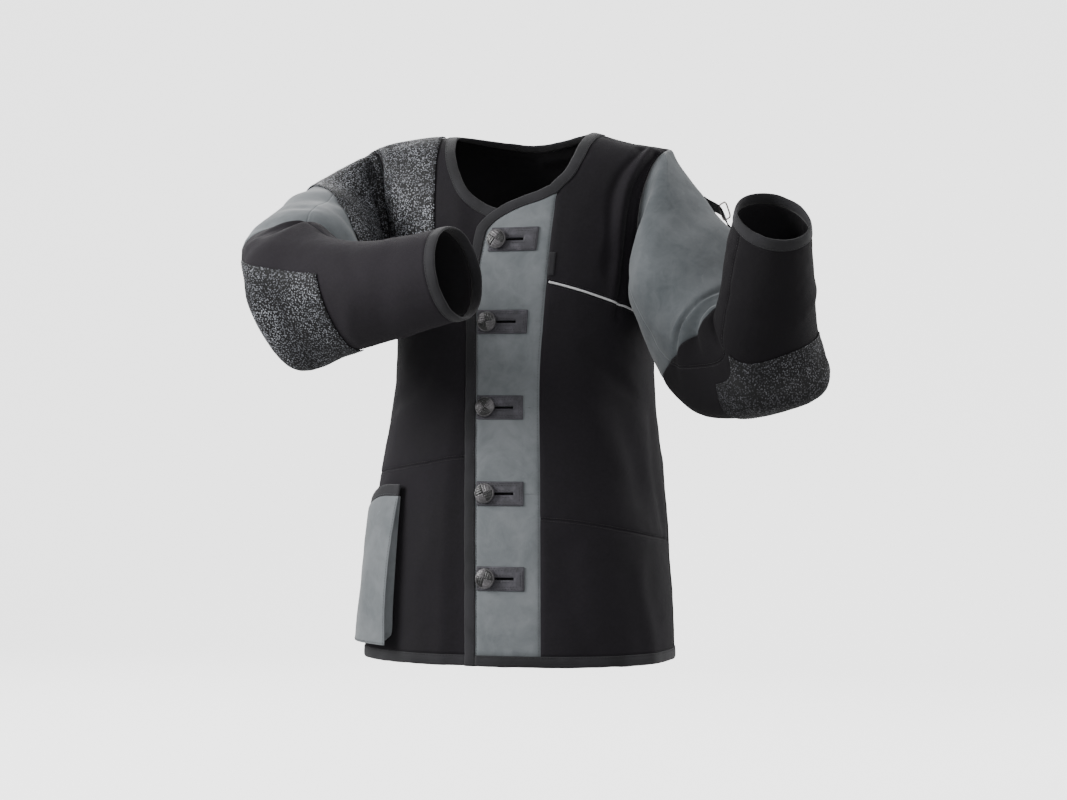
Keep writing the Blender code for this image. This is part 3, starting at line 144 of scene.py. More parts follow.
rightArm = {
    "side": -1,
    "shoulder": (-0.212, -0.010, -0.095),
    "elbow": (-0.240, -0.261, -0.235),
    "cuff": (0.007, -0.340, -0.206),
    "twist": 0,
    # turn, angle, level
    "armhole": [
        (0, 78, 0.000), (30, 77, -0.050), (60, 75, -0.108), (90, 74, -0.165), (120, 76, -0.217),
        (150, 83, -0.258), (180, 96, -0.280), (210, 108, -0.258), (240, 114, -0.217), (270, 117, -0.165),
        (300, 117, -0.108), (330, 112, -0.050), (360, 102, 0.000),
    ],
    # station, inner along, inner across, outer along, outer across, half width, boxiness
    "rings": [
        (0.070, 0.059, 0.030, 0.036, -0.085, 0.071, 0.00),
        (0.135, 0.125, 0.055, 0.125, -0.091, 0.083, 0.06),
        (0.200, 0.195, 0.058, 0.224, -0.093, 0.089, 0.15),
        (0.235, 0.224, 0.059, 0.286, -0.057, 0.088, 0.18),
        (0.262, 0.228, 0.065, 0.328, -0.024, 0.092, 0.30),
        (0.295, 0.242, 0.089, 0.348, 0.036, 0.080, 0.12),
        (0.380, 0.264, 0.160, 0.371, 0.152, 0.064, 0.01),
        (0.480, 0.255, 0.261, 0.374, 0.261, 0.057, 0.01),
    ],
    # turn, head patch end, forearm seam, elbow patch start, elbow patch end
    "seams": [
        (0, 0.090, 0.215, 0.242, 0.318), (45, 0.145, 0.215, 0.242, 0.305),
        (90, 0.185, 0.215, 0.242, 0.300), (180, 0.110, 0.208, 0.240, 0.322),
        (270, 0.080, 0.200, 0.236, 0.333),
    ],
    # turn, station, slant, reach, width, depth
    "folds": [
        (70, 0.190, 0.010, 50, 0.014, 0.007), (80, 0.222, 0.000, 45, 0.010, -0.006),
        (20, 0.150, -0.030, 45, 0.014, -0.005), (330, 0.120, 0.030, 35, 0.016, 0.004),
        (140, 0.150, 0.020, 40, 0.018, -0.006), (200, 0.230, 0.010, 40, 0.014, 0.005),
        (280, 0.400, 0.020, 50, 0.020, -0.003),
    ],
    "dents": [
        (70, 0.015, 0.004, 50, 0.0095, -0.0120), (120, 0.017, 0.004, 44, 0.0100, -0.0065),
        (40, 0.052, 0.010, 42, 0.0130, 0.0030), (28, 0.212, 0.020, 40, 0.0055, -0.0090),
        (34, 0.227, 0.008, 40, 0.0052, 0.0060), (46, 0.240, -0.006, 40, 0.0052, -0.0090),
        (60, 0.254, -0.016, 38, 0.0060, 0.0040), (84, 0.243, 0.010, 34, 0.0052, -0.0070),
        (120, 0.205, 0.016, 30, 0.0060, -0.0030), (15, 0.178, 0.030, 30, 0.0070, -0.0028),
        (350, 0.160, -0.034, 32, 0.0080, 0.0022), (300, 0.170, 0.026, 34, 0.0090, -0.0022),
        (270, 0.262, 0.000, 30, 0.0130, 0.0042), (334, 0.238, 0.006, 17, 0.0100, 0.0070),
        (240, 0.150, -0.020, 34, 0.0100, 0.0022), (215, 0.190, 0.018, 30, 0.0080, -0.0026),
        (300, 0.250, -0.004, 12, 0.0180, -0.0030), (250, 0.350, 0.024, 40, 0.0100, 0.0018),
        (320, 0.372, -0.020, 36, 0.0110, -0.0018), (200, 0.395, 0.018, 34, 0.0120, 0.0020),
        (90, 0.330, 0.020, 40, 0.0100, -0.0020), (60, 0.400, -0.018, 40, 0.0130, 0.0018),
        (150, 0.440, 0.010, 36, 0.0100, -0.0014),
    ],
}
leftArm = {
    "side": 1,
    "shoulder": (0.176, -0.015, -0.112),
    "elbow": (0.345, -0.143, -0.318),
    "cuff": (0.384, -0.250, -0.135),
    "twist": 75,
    "armhole": [
        (0, 62, 0.000), (30, 62, -0.050), (60, 60, -0.108), (90, 59, -0.165), (120, 64, -0.217),
        (150, 76, -0.258), (180, 96, -0.280), (210, 110, -0.258), (240, 117, -0.217), (270, 120, -0.165),
        (300, 120, -0.108), (330, 118, -0.050), (360, 118, 0.000),
    ],
    "rings": [
        (0.135, 0.100, 0.065, 0.132, -0.078, 0.087, 0.08),
        (0.200, 0.197, 0.057, 0.247, -0.105, 0.091, 0.15),
        (0.235, 0.216, 0.060, 0.314, -0.068, 0.086, 0.26),
        (0.262, 0.236, 0.073, 0.377, 0.009, 0.073, 0.29),
        (0.295, 0.228, 0.096, 0.354, 0.044, 0.068, 0.12),
        (0.380, 0.203, 0.147, 0.317, 0.140, 0.056, 0.04),
        (0.460, 0.189, 0.196, 0.284, 0.210, 0.046, 0.02),
    ],
    "seams": [
        (0, 0.085, 0.205, 0.252, 0.300), (90, 0.110, 0.252, 0.276, 0.300),
        (150, 0.110, 0.248, 0.268, 0.288), (180, 0.100, 0.212, 0.256, 0.286),
        (210, 0.090, 0.192, 0.251, 0.296), (270, 0.085, 0.190, 0.248, 0.318),
    ],
    "folds": [
        (110, 0.205, 0.020, 50, 0.014, 0.004), (120, 0.235, 0.010, 50, 0.012, -0.004),
        (60, 0.110, 0.020, 50, 0.020, -0.005), (150, 0.150, -0.020, 40, 0.018, 0.004),
        (200, 0.235, 0.010, 40, 0.014, 0.005), (300, 0.180, 0.010, 45, 0.018, -0.005),
    ],
    "dents": [
        (150, 0.222, 0.010, 30, 0.0044, -0.0070), (153, 0.233, 0.012, 28, 0.0048, 0.0045),
        (150, 0.245, 0.014, 28, 0.0042, -0.0075), (150, 0.256, 0.015, 26, 0.0048, 0.0040),
        (142, 0.268, 0.018, 26, 0.0042, -0.0070), (120, 0.222, -0.016, 36, 0.0060, 0.0035),
        (90, 0.240, 0.010, 36, 0.0050, -0.0055), (60, 0.225, -0.014, 34, 0.0060, 0.0035),
        (175, 0.180, 0.020, 36, 0.0100, -0.0026), (130, 0.130, 0.030, 40, 0.0120, 0.0020),
        (200, 0.110, -0.030, 40, 0.0120, -0.0022), (250, 0.150, 0.030, 36, 0.0110, 0.0022),
        (330, 0.100, -0.024, 34, 0.0110, 0.0022), (30, 0.160, 0.026, 40, 0.0100, -0.0022),
        (200, 0.350, 0.018, 40, 0.0120, -0.0016), (150, 0.400, -0.016, 36, 0.0130, 0.0014),
        (320, 0.360, 0.020, 40, 0.0110, 0.0018), (40, 0.340, -0.020, 40, 0.0110, -0.0018),
    ],
}
headSlope = 1.1  # how steeply a sleeve leaves the front of its armhole
sleeveStep = 2.0  # degrees, long enough to even out the corner of an armhole at the shoulder seam


def smoothCurve(x, y, at):  # a smooth curve through rows, where y may hold points
    x, y = np.asarray(x, float), np.asarray(y, float)
    at = np.clip(np.asarray(at, float), x[0], x[-1])
    slope = np.gradient(y, x, axis=0)
    k = np.clip(np.searchsorted(x, at, side="right") - 1, 0, len(x) - 2)
    span = x[k + 1] - x[k]
    t = (at - x[k]) / span
    shape = t.shape + (1,) * (y.ndim - 1)
    span, t = span.reshape(shape), t.reshape(shape)
    start = y[k] * (1 + 2 * t) * (1 - t) ** 2 + slope[k] * span * t * (1 - t) ** 2
    return start + y[k + 1] * t * t * (3 - 2 * t) + slope[k + 1] * span * t * t * (t - 1)


def column(rows, number, at):
    table = np.array(rows, float)
    return smoothCurve(table[:, 0], table[:, number], at)


def smoothStep(value, start, end):
    t = np.clip((value - start) / (end - start), 0, 1)
    return t * t * (3 - 2 * t)


def unit(vectors):
    return vectors / np.maximum(np.linalg.norm(vectors, axis=-1, keepdims=True), 1e-12)


def bodySkin(places):
    angle, level = places[..., 0], places[..., 1]
    sine, cosine = np.sin(np.radians(angle)), np.cos(np.radians(angle))
    front, back = column(body["rows"], 2, level), column(body["rows"], 3, level)
    rise = np.radians(90) * np.maximum((level - body["armpit"]) / -body["armpit"], 0)
    depth = np.where(cosine > 0, front, back) * cosine * (1 + body["boxiness"] * sine**2)
    depth = depth * np.cos(rise) * (1 + body["topRoundness"] * np.sin(rise) ** 2)
    x = column(body["rows"], 1, level) * sine * (1 + body["boxiness"] * cosine**2)
    y = column(body["rows"], 4, level) - depth
    climb = np.sin(rise) * (1 + body["topRoundness"] * np.cos(rise) ** 2)
    ridge = column(body["ridge"], 1, x)
    low = body["armpit"]
    z = np.where(level > low, low + (ridge - low) * climb, level)
    return np.stack([x, y, z], axis=-1)


def bodyFolds(places, folds, wander=0.0):
    angle = (places[..., 0] + 180) % 360 - 180
    here = np.stack([angle * cloth["degree"], places[..., 1]], axis=-1)
    if wander:  # pushes the lines of the folds off straight
        here = here + wander * np.stack(
            [np.sin(here[..., 1] * 41 + 1.3), np.sin(here[..., 0] * 37 + here[..., 1] * 19)], axis=-1
        )
    total = np.zeros(angle.shape)
    for startAngle, startLevel, endAngle, endLevel, depth, width in folds:
        start = np.array([startAngle * cloth["degree"], startLevel])
        run = np.array([endAngle * cloth["degree"], endLevel]) - start
        share = np.clip(((here - start) @ run) / (run @ run), 0, 1)
        apart = np.linalg.norm(here - (start + share[..., None] * run), axis=-1)
        total += depth * np.exp(-((apart / width) ** 2))
    return total


def normalsOf(skin, places, degrees=0.05):
    stepAcross, stepUp = np.array([degrees, 0]), np.array([0, 0.0001])
    across = skin(places + stepAcross) - skin(places - stepAcross)
    up = skin(places + stepUp) - skin(places - stepUp)
    return unit(np.cross(across, up))


def bodyForm(places, out=0.0, dents=True):  # points and their outward normals
    places = np.asarray(places, float)
    places = np.stack([places[..., 0], np.minimum(places[..., 1], -0.0003)], axis=-1)

    def relief(at):
        total = bodyFolds(at, body["folds"])
        return total + bodyFolds(at, body["dents"], 0.006) if dents else total

    def folded(at):
        return bodySkin(at) + relief(at)[..., None] * normalsOf(bodySkin, at)

    return folded(places) + normalsOf(folded, places) * out, normalsOf(folded, places)


def plainBody(places, out=0.0):
    return bodyForm(places, out, dents=False)


def rightFrontForm(places, out=0.0):  # sunk under the left front's overlap
    points, outward = bodyForm(places, out)
    sunk = smoothStep(np.asarray(places, float)[..., 0], underlap["start"], underlap["end"])
    return points - outward * (sunk * underlap["drop"])[..., None], outward


def armholePlaces(arm, turn):
    angle, level = column(arm["armhole"], 1, turn), column(arm["armhole"], 2, turn)
    return np.stack([angle * arm["side"], np.minimum(level, 0)], axis=-1)


def armAxes(arm):
    shoulder, elbow, cuff = (np.array(arm[k]) for k in ("shoulder", "elbow", "cuff"))
    along = unit(elbow - shoulder)
    across = unit((cuff - elbow) - ((cuff - elbow) @ along) * along)
    return along, across, -arm["side"] * np.cross(along, across)


def sleeveSkin(arm, places):
    turn, station = places[..., 0] % 360, places[..., 1]
    along, across, top = armAxes(arm)
    seam, bodyOut = plainBody(armholePlaces(arm, (turn - arm["twist"]) % 360))
    rings = [seam]
    radians = np.radians(turn)[..., None]
    for _, innerAlong, innerAcross, outerAlong, outerAcross, half, box in arm["rings"]:
        inner = np.array(arm["shoulder"]) + along * innerAlong + across * innerAcross
        outer = np.array(arm["shoulder"]) + along * outerAlong + across * outerAcross
        middle = (inner + outer) / 2
        upward = np.cos(radians) * (1 + box * np.sin(radians) ** 2)
        inward = np.sin(radians) * (1 + box * np.cos(radians) ** 2)
        rings.append(middle + upward * half * top + inward * (inner - middle))
    stations = np.array([0.0] + [row[0] for row in arm["rings"]])
    rings = np.array(rings)
    slopes = np.gradient(rings, stations, axis=0)
    front = np.maximum(np.sin(radians - math.radians(arm["twist"])), 0)
    slopes[0] = slopes[0] + (bodyOut * headSlope - slopes[0]) * front
    station = np.clip(station, 0, stations[-1])
    k = np.clip(np.searchsorted(stations, station, side="right") - 1, 0, len(stations) - 2)
    span = (stations[k + 1] - stations[k])[..., None]
    t = (station - stations[k])[..., None] / span

    def pick(table, row):
        flat = table.reshape(len(stations), -1, 3)
        return flat[row.reshape(-1), np.arange(row.size)].reshape(row.shape + (3,))

    start = pick(rings, k) * (1 + 2 * t) * (1 - t) ** 2 + pick(slopes, k) * span * t * (1 - t) ** 2
    end = pick(rings, k + 1) * t * t * (3 - 2 * t) + pick(slopes, k + 1) * span * t * t * (t - 1)
    return start + end


def sleeveFolds(arm, places):
    turn, station = places[..., 0], places[..., 1]
    total = np.zeros(turn.shape)
    for wander, folds in ((0.0, arm["folds"]), (1.0, arm["dents"])):
        shifted = turn + wander * 4 * np.sin(station * 60 + 0.7)
        moved = station + wander * 0.004 * np.sin(np.radians(turn * 3) + station * 23)
        for foldTurn, foldStation, slant, reach, width, depth in folds:
            away = (shifted - foldTurn + 180) % 360 - 180
            ridge = (moved - foldStation - slant * away / 90) / width
            total += depth * np.exp(-(ridge**2)) * np.exp(-((away / reach) ** 2))
    last = arm["rings"][-1][0]
    return total * smoothStep(station, 0.0, 0.012) * smoothStep(station, last, last - 0.04)


def sleeveForm(arm, places, out=0.0):
    places = np.asarray(places, float)
    last = arm["rings"][-1][0]
    kept = np.stack([places[..., 0], np.clip(places[..., 1], 0.0003, last - 0.0003)], axis=-1)

    def bare(at):
        return sleeveSkin(arm, at)

    def folded(at):
        rise = sleeveFolds(arm, at) * arm["side"]
        return bare(at) + rise[..., None] * normalsOf(bare, at, sleeveStep)

    outward = normalsOf(folded, kept, sleeveStep) * arm["side"]
    smooth = normalsOf(bare, kept, sleeveStep) * arm["side"]
    points = bare(places) + sleeveFolds(arm, places)[..., None] * smooth
    return points + outward * out, outward


# Lattices of places

counts = {
    "step": 15,  # degrees of turn from one column of a sleeve to the next
    "patchTurn": 150,
    "front": 6,
    "chest": 8,
    "backNeck": 14,
    "skirt": 5,
    "side": 5,
    "cuff": 96,
}
panelFoot = body["hem"] + cloth["tapeWidth"] + cloth["seamGap"]


def sample(line, count, shares=None):
    line = np.array(line, float)
    steps = np.diff(line, axis=0) * [cloth["degree"], 1.0]
    length = np.concatenate([[0], np.cumsum(np.linalg.norm(steps, axis=1))])
    shares = np.linspace(0, 1, count + 1) if shares is None else np.asarray(shares)
    return smoothCurve(length, line, shares * length[-1])


def coons(bottom, top, left, right):  # places between four lines that meet at the corners
    v = np.linspace(0, 1, len(left))[:, None, None]
    u = np.linspace(0, 1, len(bottom))[None, :, None]
    rows = (1 - v) * bottom[None] + v * top[None]
    columns = (1 - u) * left[:, None] + u * right[:, None]
    corners = (1 - v) * ((1 - u) * bottom[0] + u * bottom[-1])
    return rows + columns - corners - v * ((1 - u) * top[0] + u * top[-1])


def onLine(line, level):
    table = np.array(line, float)
    return np.array([smoothCurve(table[:, 1], table[:, 0], level), level])


def levelOf(height, angle=0.0):
    low, high = -0.72, -0.01
    for _ in range(40):
        middle = (low + high) / 2
        below = bodySkin(np.array([angle, middle]))[2] < height
        low, high = (middle, high) if below else (low, middle)
    return (low + high) / 2


def armholeLine(arm, start, end):
    return armholePlaces(arm, np.linspace(start, end, round(abs(end - start) / counts["step"]) + 1))


def upright(angle, start, end, rows):
    return np.stack([np.full(rows + 1, float(angle)), np.linspace(start, end, rows + 1)], axis=-1)


def seamEdge(line, start, end, rows):
    return np.array([onLine(line, level) for level in np.linspace(start, end, rows + 1)])


def between(start, end, columns):
    return np.linspace(np.asarray(start, float), np.asarray(end, float), columns + 1)


def chain(*parts):
    return np.concatenate([parts[0]] + [part[1:] for part in parts[1:]])


def finerLine(places, steps):
    last = len(places) - 1
    return smoothCurve(np.arange(last + 1), places, np.linspace(0, last, last * steps + 1))


def refine(places, rowSteps, columnSteps):  # each cell becomes rowSteps by columnSteps cells
    for steps in (rowSteps, columnSteps):
        places = np.swapaxes(finerLine(places, steps), 0, 1)
    return places


def stepsFor(places, size):  # how often to divide the cells of a lattice on the body
    metric, steps = places * [cloth["degree"], 1.0], []
    for axis in (0, 1):
        run = np.linalg.norm(np.diff(metric, axis=axis), axis=-1).sum(axis=axis).max()
        steps.append(max(2, round(run / size / (places.shape[axis] - 1))))
    return steps


# Cloth meshes

unevenness = {"broad": (15, 0.0011), "middle": (42, 0.0005), "fine": (110, 0.00022)}


def noiseAt(points, scale, offset=0.0):
    flat = points.reshape(-1, 3) * scale + offset
    return np.array([noise.noise(Vector(p)) for p in flat]).reshape(points.shape[:-1])


def reachOf(points):  # metres from each point of a lattice to its four borders
    down = np.linalg.norm(np.diff(points, axis=0), axis=-1).cumsum(axis=0)
    down = np.concatenate([np.zeros((1, points.shape[1])), down])
    over = np.linalg.norm(np.diff(points, axis=1), axis=-1).cumsum(axis=1)
    over = np.concatenate([np.zeros((points.shape[0], 1)), over], axis=1)
    return {"foot": down, "head": down[-1:] - down, "left": over, "right": over[:, -1:] - over}


def liveIn(points, outward, sewn=()):  # unevenness, and dips and puckers at sewn borders
    shift = sum(noiseAt(points, scale, 7.0) * height for scale, height in unevenness.values())
    reach = reachOf(points)
    wrinkle = noiseAt(points, cloth["puckerScale"], 3.0) if sewn else 0
    for edge in sewn:
        shift = shift - cloth["seamDip"] * np.exp(-((reach[edge] / cloth["seamWidth"]) ** 2))
        shift = shift + cloth["pucker"] * wrinkle * np.exp(-reach[edge] / cloth["puckerReach"])
    return points + outward * shift[..., None]


def addMesh(name, points, faces, uv, finishes, inside=None):
    mesh = bpy.data.meshes.new(name)
    mesh.from_pydata(points.tolist(), [], faces)
    for finish in finishes:
        mesh.materials.append(finish)
    if inside is not None:
        mesh.polygons.foreach_set("material_index", inside)
    layer = mesh.uv_layers.new(name="cloth")
    corners = np.empty(len(mesh.loops), np.int32)
    mesh.loops.foreach_get("vertex_index", corners)
    layer.data.foreach_set("uv", uv[corners].astype(np.float32).ravel())
    mesh.update()
    mesh.shade_smooth()
    piece = bpy.data.objects.new(name, mesh)
    bpy.context.scene.collection.objects.link(piece)
    return piece


def diagonals(points):  # their products: twice the area of each cell, facing out of it
    return np.cross(points[1:, 1:] - points[:-1, :-1], points[1:, :-1] - points[:-1, 1:])


def shell(name, points, outward, thickness, finishes, holes=()):
    rows, columns = points.shape[:2]
    kept = np.ones((rows - 1, columns - 1), bool)
    for row, endRow, first, end in holes:
        kept[row:endRow, first:end] = False
    reach = reachOf(points)
    uv = np.stack([reach["left"] - reach["left"][:, [columns // 2]], reach["foot"]], axis=-1)
    turned = np.sum(diagonals(points) * outward[:-1, :-1]) < 0
    total = rows * columns
    r, c = np.nonzero(kept)
    below, above = r * columns + c, (r + 1) * columns + c
    outer = np.stack([below, below + 1, above + 1, above], axis=1)
    if turned:
        outer = outer[:, ::-1]
    faces = outer.tolist() + (outer[:, ::-1] + total).tolist()
    inside = [0] * len(outer) + [len(finishes) - 1] * len(outer)

    def isKept(row, col):
        return 0 <= row < rows - 1 and 0 <= col < columns - 1 and kept[row, col]

    rim, rimEdges = {}, []  # a rounded edge runs halfway between the two sides
    for row, col in zip(r.tolist(), c.tolist()):
        if 0 < row < rows - 2 and 0 < col < columns - 2 and not holes:
            continue
        middle = points[row : row + 2, col : col + 2].mean(axis=(0, 1))
        ring = [(row, col), (row, col + 1), (row + 1, col + 1), (row + 1, col)]
        for k, beside in enumerate([(row - 1, col), (row, col + 1), (row + 1, col), (row, col - 1)]):
            if isKept(*beside):
                continue
            start, end = ring[k], ring[(k + 1) % 4]
            away = np.cross(points[end] - points[start], outward[start])
            away *= np.sign(away @ (points[start] + points[end] - 2 * middle)) or 1
            for place in (start, end):
                rim[place] = rim.get(place, 0) + unit(away)
            rimEdges.append((start, end))
    number = {place: 2 * total + k for k, place in enumerate(rim)}
    edge = [
        points[place] + (unit(away) * cloth["rimReach"] - outward[place] / 2) * thickness
        for place, away in rim.items()
    ]
    for start, end in rimEdges:
        first, last = start[0] * columns + start[1], end[0] * columns + end[1]
        for face in (
            [last, first, number[start], number[end]],
            [number[end], number[start], first + total, last + total],
        ):
            faces.append(face[::-1] if turned else face)
            inside.append(0)
    sides = [points.reshape(-1, 3), (points - outward * thickness).reshape(-1, 3), np.array(edge)]
    cut = [uv.reshape(-1, 2)] * 2 + [np.array([uv[place] for place in rim])]
    return addMesh(name, np.concatenate(sides), faces, np.concatenate(cut), finishes, inside)


def dress(piece, node):  # the piece rides on the jacket and stands for its solid
    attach(piece, "root")
    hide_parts(node)
    return piece


def clothPiece(
    name,
    node,
    slotName,
    form,
    places,
    sewn=(),
    size=cloth["mesh"],
    thickness=cloth["thickness"],
    out=0.0,
    holes=(),
    made=None,
):
    rowSteps, columnSteps = stepsFor(places, size)
    points, outward = form(refine(places, rowSteps, columnSteps))
    points = liveIn(points, outward, sewn) + outward * out
    steps = np.array([rowSteps, rowSteps, columnSteps, columnSteps])
    finishes = made or (finish[slotName], finish["inside"])
    piece = shell(name, points, outward, thickness, finishes, [steps * hole for hole in holes])
    declareSheet(dress(piece, node), points)
    return points, outward


def declareSheet(piece, points):
    reach = reachOf(points)
    width, length = float(reach["left"][:, -1].max()), float(reach["foot"][-1].max())
    area = float(np.linalg.norm(diagonals(points), axis=-1).sum() / 2)
    area = min(max(area, sheetLook["leastShare"] * width * length), width * length)


# Stitches

thread = {
    "length": 0.0027,
    "gap": 0.0012,
    "radius": 0.00034,
    "lift": 0.00022,
    "sides": 5,
    "ends": (0.2, 0.8),
    "spacing": 0.002,
    "inset": 0.0022,
    "patchInset": 0.0024,
    "pipedInset": 0.0042,
    "ridgeInset": 0.003,
}


def insetLine(points, outward, edge, distance, trim=(0.0, 0.0)):
    reach = reachOf(points)[edge]
    if edge in ("foot", "head"):
        points, outward, reach = (np.swapaxes(x, 0, 1) for x in (points, outward, reach))
    if edge in ("right", "head"):
        points, outward, reach = points[:, ::-1], outward[:, ::-1], reach[:, ::-1]
    k = np.clip((reach < distance).sum(axis=1) - 1, 0, reach.shape[1] - 2)
    row = np.arange(len(k))
    span = reach[row, k + 1] - reach[row, k]
    t = np.clip((distance - reach[row, k]) / np.maximum(span, 1e-9), 0, 1)[:, None]
    line = points[row, k] * (1 - t) + points[row, k + 1] * t
    facing = unit(outward[row, k] * (1 - t) + outward[row, k + 1] * t)
    return trimLine(line, facing, *trim)


def seamRuns(points, outward, **insets):  # rows of stitches along the named edges
    return [insetLine(points, outward, edge, inset) for edge, inset in insets.items()]


def lengthOf(line):  # metres along a line, at each of its points
    return np.concatenate([[0], np.linalg.norm(np.diff(line, axis=0), axis=1).cumsum()])


def spotsOn(values, length, spots):
    return np.stack([np.interp(spots, length, values[:, k]) for k in range(3)], axis=-1)


def trimLine(line, facing, start, end):
    length = lengthOf(line)
    spots = np.arange(start, length[-1] - end, thread["spacing"])
    if len(spots) < 2:
        return line, facing
    return spotsOn(line, length, spots), unit(spotsOn(facing, length, spots))


def stitches(name, runs, finish, lift=thread["lift"]):
    points, faces, n = [], [], thread["sides"]
    for line, facing in runs:
        length = lengthOf(line)
        pitch = thread["length"] + thread["gap"]
        for start in np.arange(thread["gap"], length[-1] - thread["length"], pitch):
            first, last = spotsOn(line, length, np.array([start, start + thread["length"]]))
            up = unit(spotsOn(facing, length, start))
            beside = np.cross(up, unit(last - first))
            base = len(points)
            points.append(first - up * thread["radius"])
            for share in thread["ends"]:
                centre = first + (last - first) * share + up * lift
                for k in range(n):
                    turn = 2 * math.pi * k / n
                    around = beside * math.cos(turn) + up * math.sin(turn)
                    points.append(centre + around * thread["radius"])
            points.append(last - up * thread["radius"])
            for k in range(n):
                here, after = base + 1 + k, base + 1 + (k + 1) % n
                faces.append((base, after, here))
                faces.append((here, after, after + n, here + n))
                faces.append((base + 1 + 2 * n, here + n, after + n))
    points = np.array(points)
    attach(addMesh(name, points, faces, points[:, :2], [finish]), "root")


# Finishes


class Link:  # a socket that Python sums work on
    def __init__(self, paint, socket):
        self.paint, self.socket = paint, socket

    def maths(self, operation, *values):
        return self.paint.node("Math", {"operation": operation}, values)

    def __add__(self, other):
        return self.maths("ADD", self, other)

    def __sub__(self, other):
        return self.maths("SUBTRACT", self, other)

    def __rsub__(self, other):
        return self.maths("SUBTRACT", other, self)

    def __mul__(self, other):
        return self.maths("MULTIPLY", self, other)

    __radd__, __rmul__ = __add__, __mul__

    def sine(self):
        return self.maths("SINE", self)


class Paint:
    def __init__(self, name, fixed):
        self.material = bpy.data.materials.new(name)
        self.material.use_nodes = True
        self.tree = self.material.node_tree
        self.shader = self.tree.nodes["Principled BSDF"]
        for key, value in fixed.items():
            self.shader.inputs[key].default_value = value

    def node(self, kind, settings, inputs, output=0):
        made = self.tree.nodes.new("ShaderNode" + kind)
        for key, value in settings.items():
            setattr(made, key, value)
        for key, value in inputs.items() if isinstance(inputs, dict) else enumerate(inputs):
            if isinstance(value, Link):
                self.tree.links.new(value.socket, made.inputs[key])
            else:
                made.inputs[key].default_value = value
        return Link(self, made.outputs[output])

    def place(self):  # metres in the jacket's own space
        return self.node("TexCoord", {}, {}, "Object")

    def weaveLines(self):  # metres along the width and the length of a piece
        cut = self.node("TexCoord", {}, {}, "UV")
        return [self.node("SeparateXYZ", {}, [cut], axis) for axis in (0, 1)]

    def noise(self, scale, detail=2.0, roughness=0.5, distortion=0.0):
        values = {"Vector": self.place(), "Scale": scale, "Detail": detail}
        return self.node("TexNoise", {}, {**values, "Roughness": roughness, "Distortion": distortion})

    def cells(self, settings, scale, randomness):
        values = {"Vector": self.place(), "Scale": scale, "Randomness": randomness}
        return self.node("TexVoronoi", settings, values)

    def step(self, value, low, high):  # 0 below low, 1 above high, soft between
        settings = {"interpolation_type": "SMOOTHSTEP", "clamp": True}
        return self.node("MapRange", settings, {"Value": value, "From Min": low, "From Max": high})

    def mix(self, factor, first, second):
        return self.node("Mix", {"data_type": "RGBA"}, {0: factor, 6: first, 7: second}, 2)

    def feed(self, colour, roughness, height=None, strength=0.5, distance=0.001):
        pairs = {"Base Color": colour, "Roughness": roughness}
        if height:
            values = {"Strength": strength, "Distance": distance, "Height": height}
            pairs["Normal"] = self.node("Bump", {}, values)
        for key, value in pairs.items():
            self.tree.links.new(value.socket, self.shader.inputs[key])
        return self.material


def linear(value):  # from the screen's 0 to 255
    return value / 255 / 12.92 if value <= 10 else ((value / 255 + 0.055) / 1.055) ** 2.4


def shade(red, green, blue):
    return linear(red), linear(green), linear(blue), 1


pitches = {"canvas": 0.0012, "tape": 0.0011}  # metres from one thread to the next
canvasLook = {"Specular IOR Level": 0.25, "Sheen Weight": 0.04, "Sheen Roughness": 0.4}


def canvas(name, dark, light, lint):
    paint = Paint(name, canvasLook)
    u, v = paint.weaveLines()
    beat = 2 * math.pi / pitches["canvas"]
    weave = (u * beat).sine() * (v * beat).sine()
    slub = paint.noise(260, 3, 0.6)
    patches = paint.step(paint.noise(7, 4, 0.55, 0.4), 0.3, 0.7)
    specks = paint.step(paint.noise(1100, 1), 0.66, 0.80)
    colour = paint.mix(patches, shade(*dark), shade(*light))
    colour = paint.mix((slub - 0.5) * 0.5 + weave * 0.10 + 0.25, colour, shade(*lint))
    colour = paint.mix(specks * 0.35, colour, shade(*lint))
    rough = 0.78 + patches * 0.10 + (slub - 0.5) * 0.2
    return paint.feed(colour, rough, weave * 0.5 + slub * 0.8, 0.35, 0.0006)


def suede(name, dark, light, pale):
    paint = Paint(name, {"Specular IOR Level": 0.2, "Sheen Weight": 0.35, "Sheen Roughness": 0.4})
    nap = paint.step(paint.noise(11, 5, 0.6, 0.8), 0.32, 0.70)
    brushed = paint.noise(48, 4, 0.6, 1.2)
    grain = paint.noise(720, 2, 0.6)
    scuffs = paint.step(paint.noise(24, 6, 0.7, 2.0), 0.62, 0.78)
    colour = paint.mix(nap, shade(*dark), shade(*light))
    colour = paint.mix(scuffs * 0.30 + (brushed - 0.5) * 0.45 + 0.1, colour, shade(*pale))
    rough = 0.84 + nap * 0.1 + (grain - 0.5) * 0.1
    return paint.feed(colour, rough, grain + brushed * 0.8, 0.30, 0.0006)


gripLook = {"scale": 390, "breaks": 150, "narrow": 0.30, "wide": 0.48}


def grip(name, ground, speck, shine):
    paint = Paint(name, {"Specular IOR Level": 0.45})
    away = paint.cells({}, gripLook["scale"], 0.8)
    cut = paint.step(paint.noise(gripLook["breaks"], 1, 0.5), 0.36, 0.60)
    pebble = (1 - paint.step(away, gripLook["narrow"], gripLook["wide"])) * (cut * 0.6 + 0.4)
    # painted highlight: in broad patches the pebbles turn from the speck colour to the bright shine
    # colour
    paintedShine = paint.step(paint.noise(16, 4, 0.6, 0.5), 0.35, 0.72)
    tone = paint.mix(paintedShine, shade(*speck), shade(*shine))
    colour = paint.mix(pebble, shade(*ground), tone)
    return paint.feed(colour, 0.72 - pebble * 0.22, pebble + paint.noise(900, 2) * 0.2, 0.9, 0.0007)


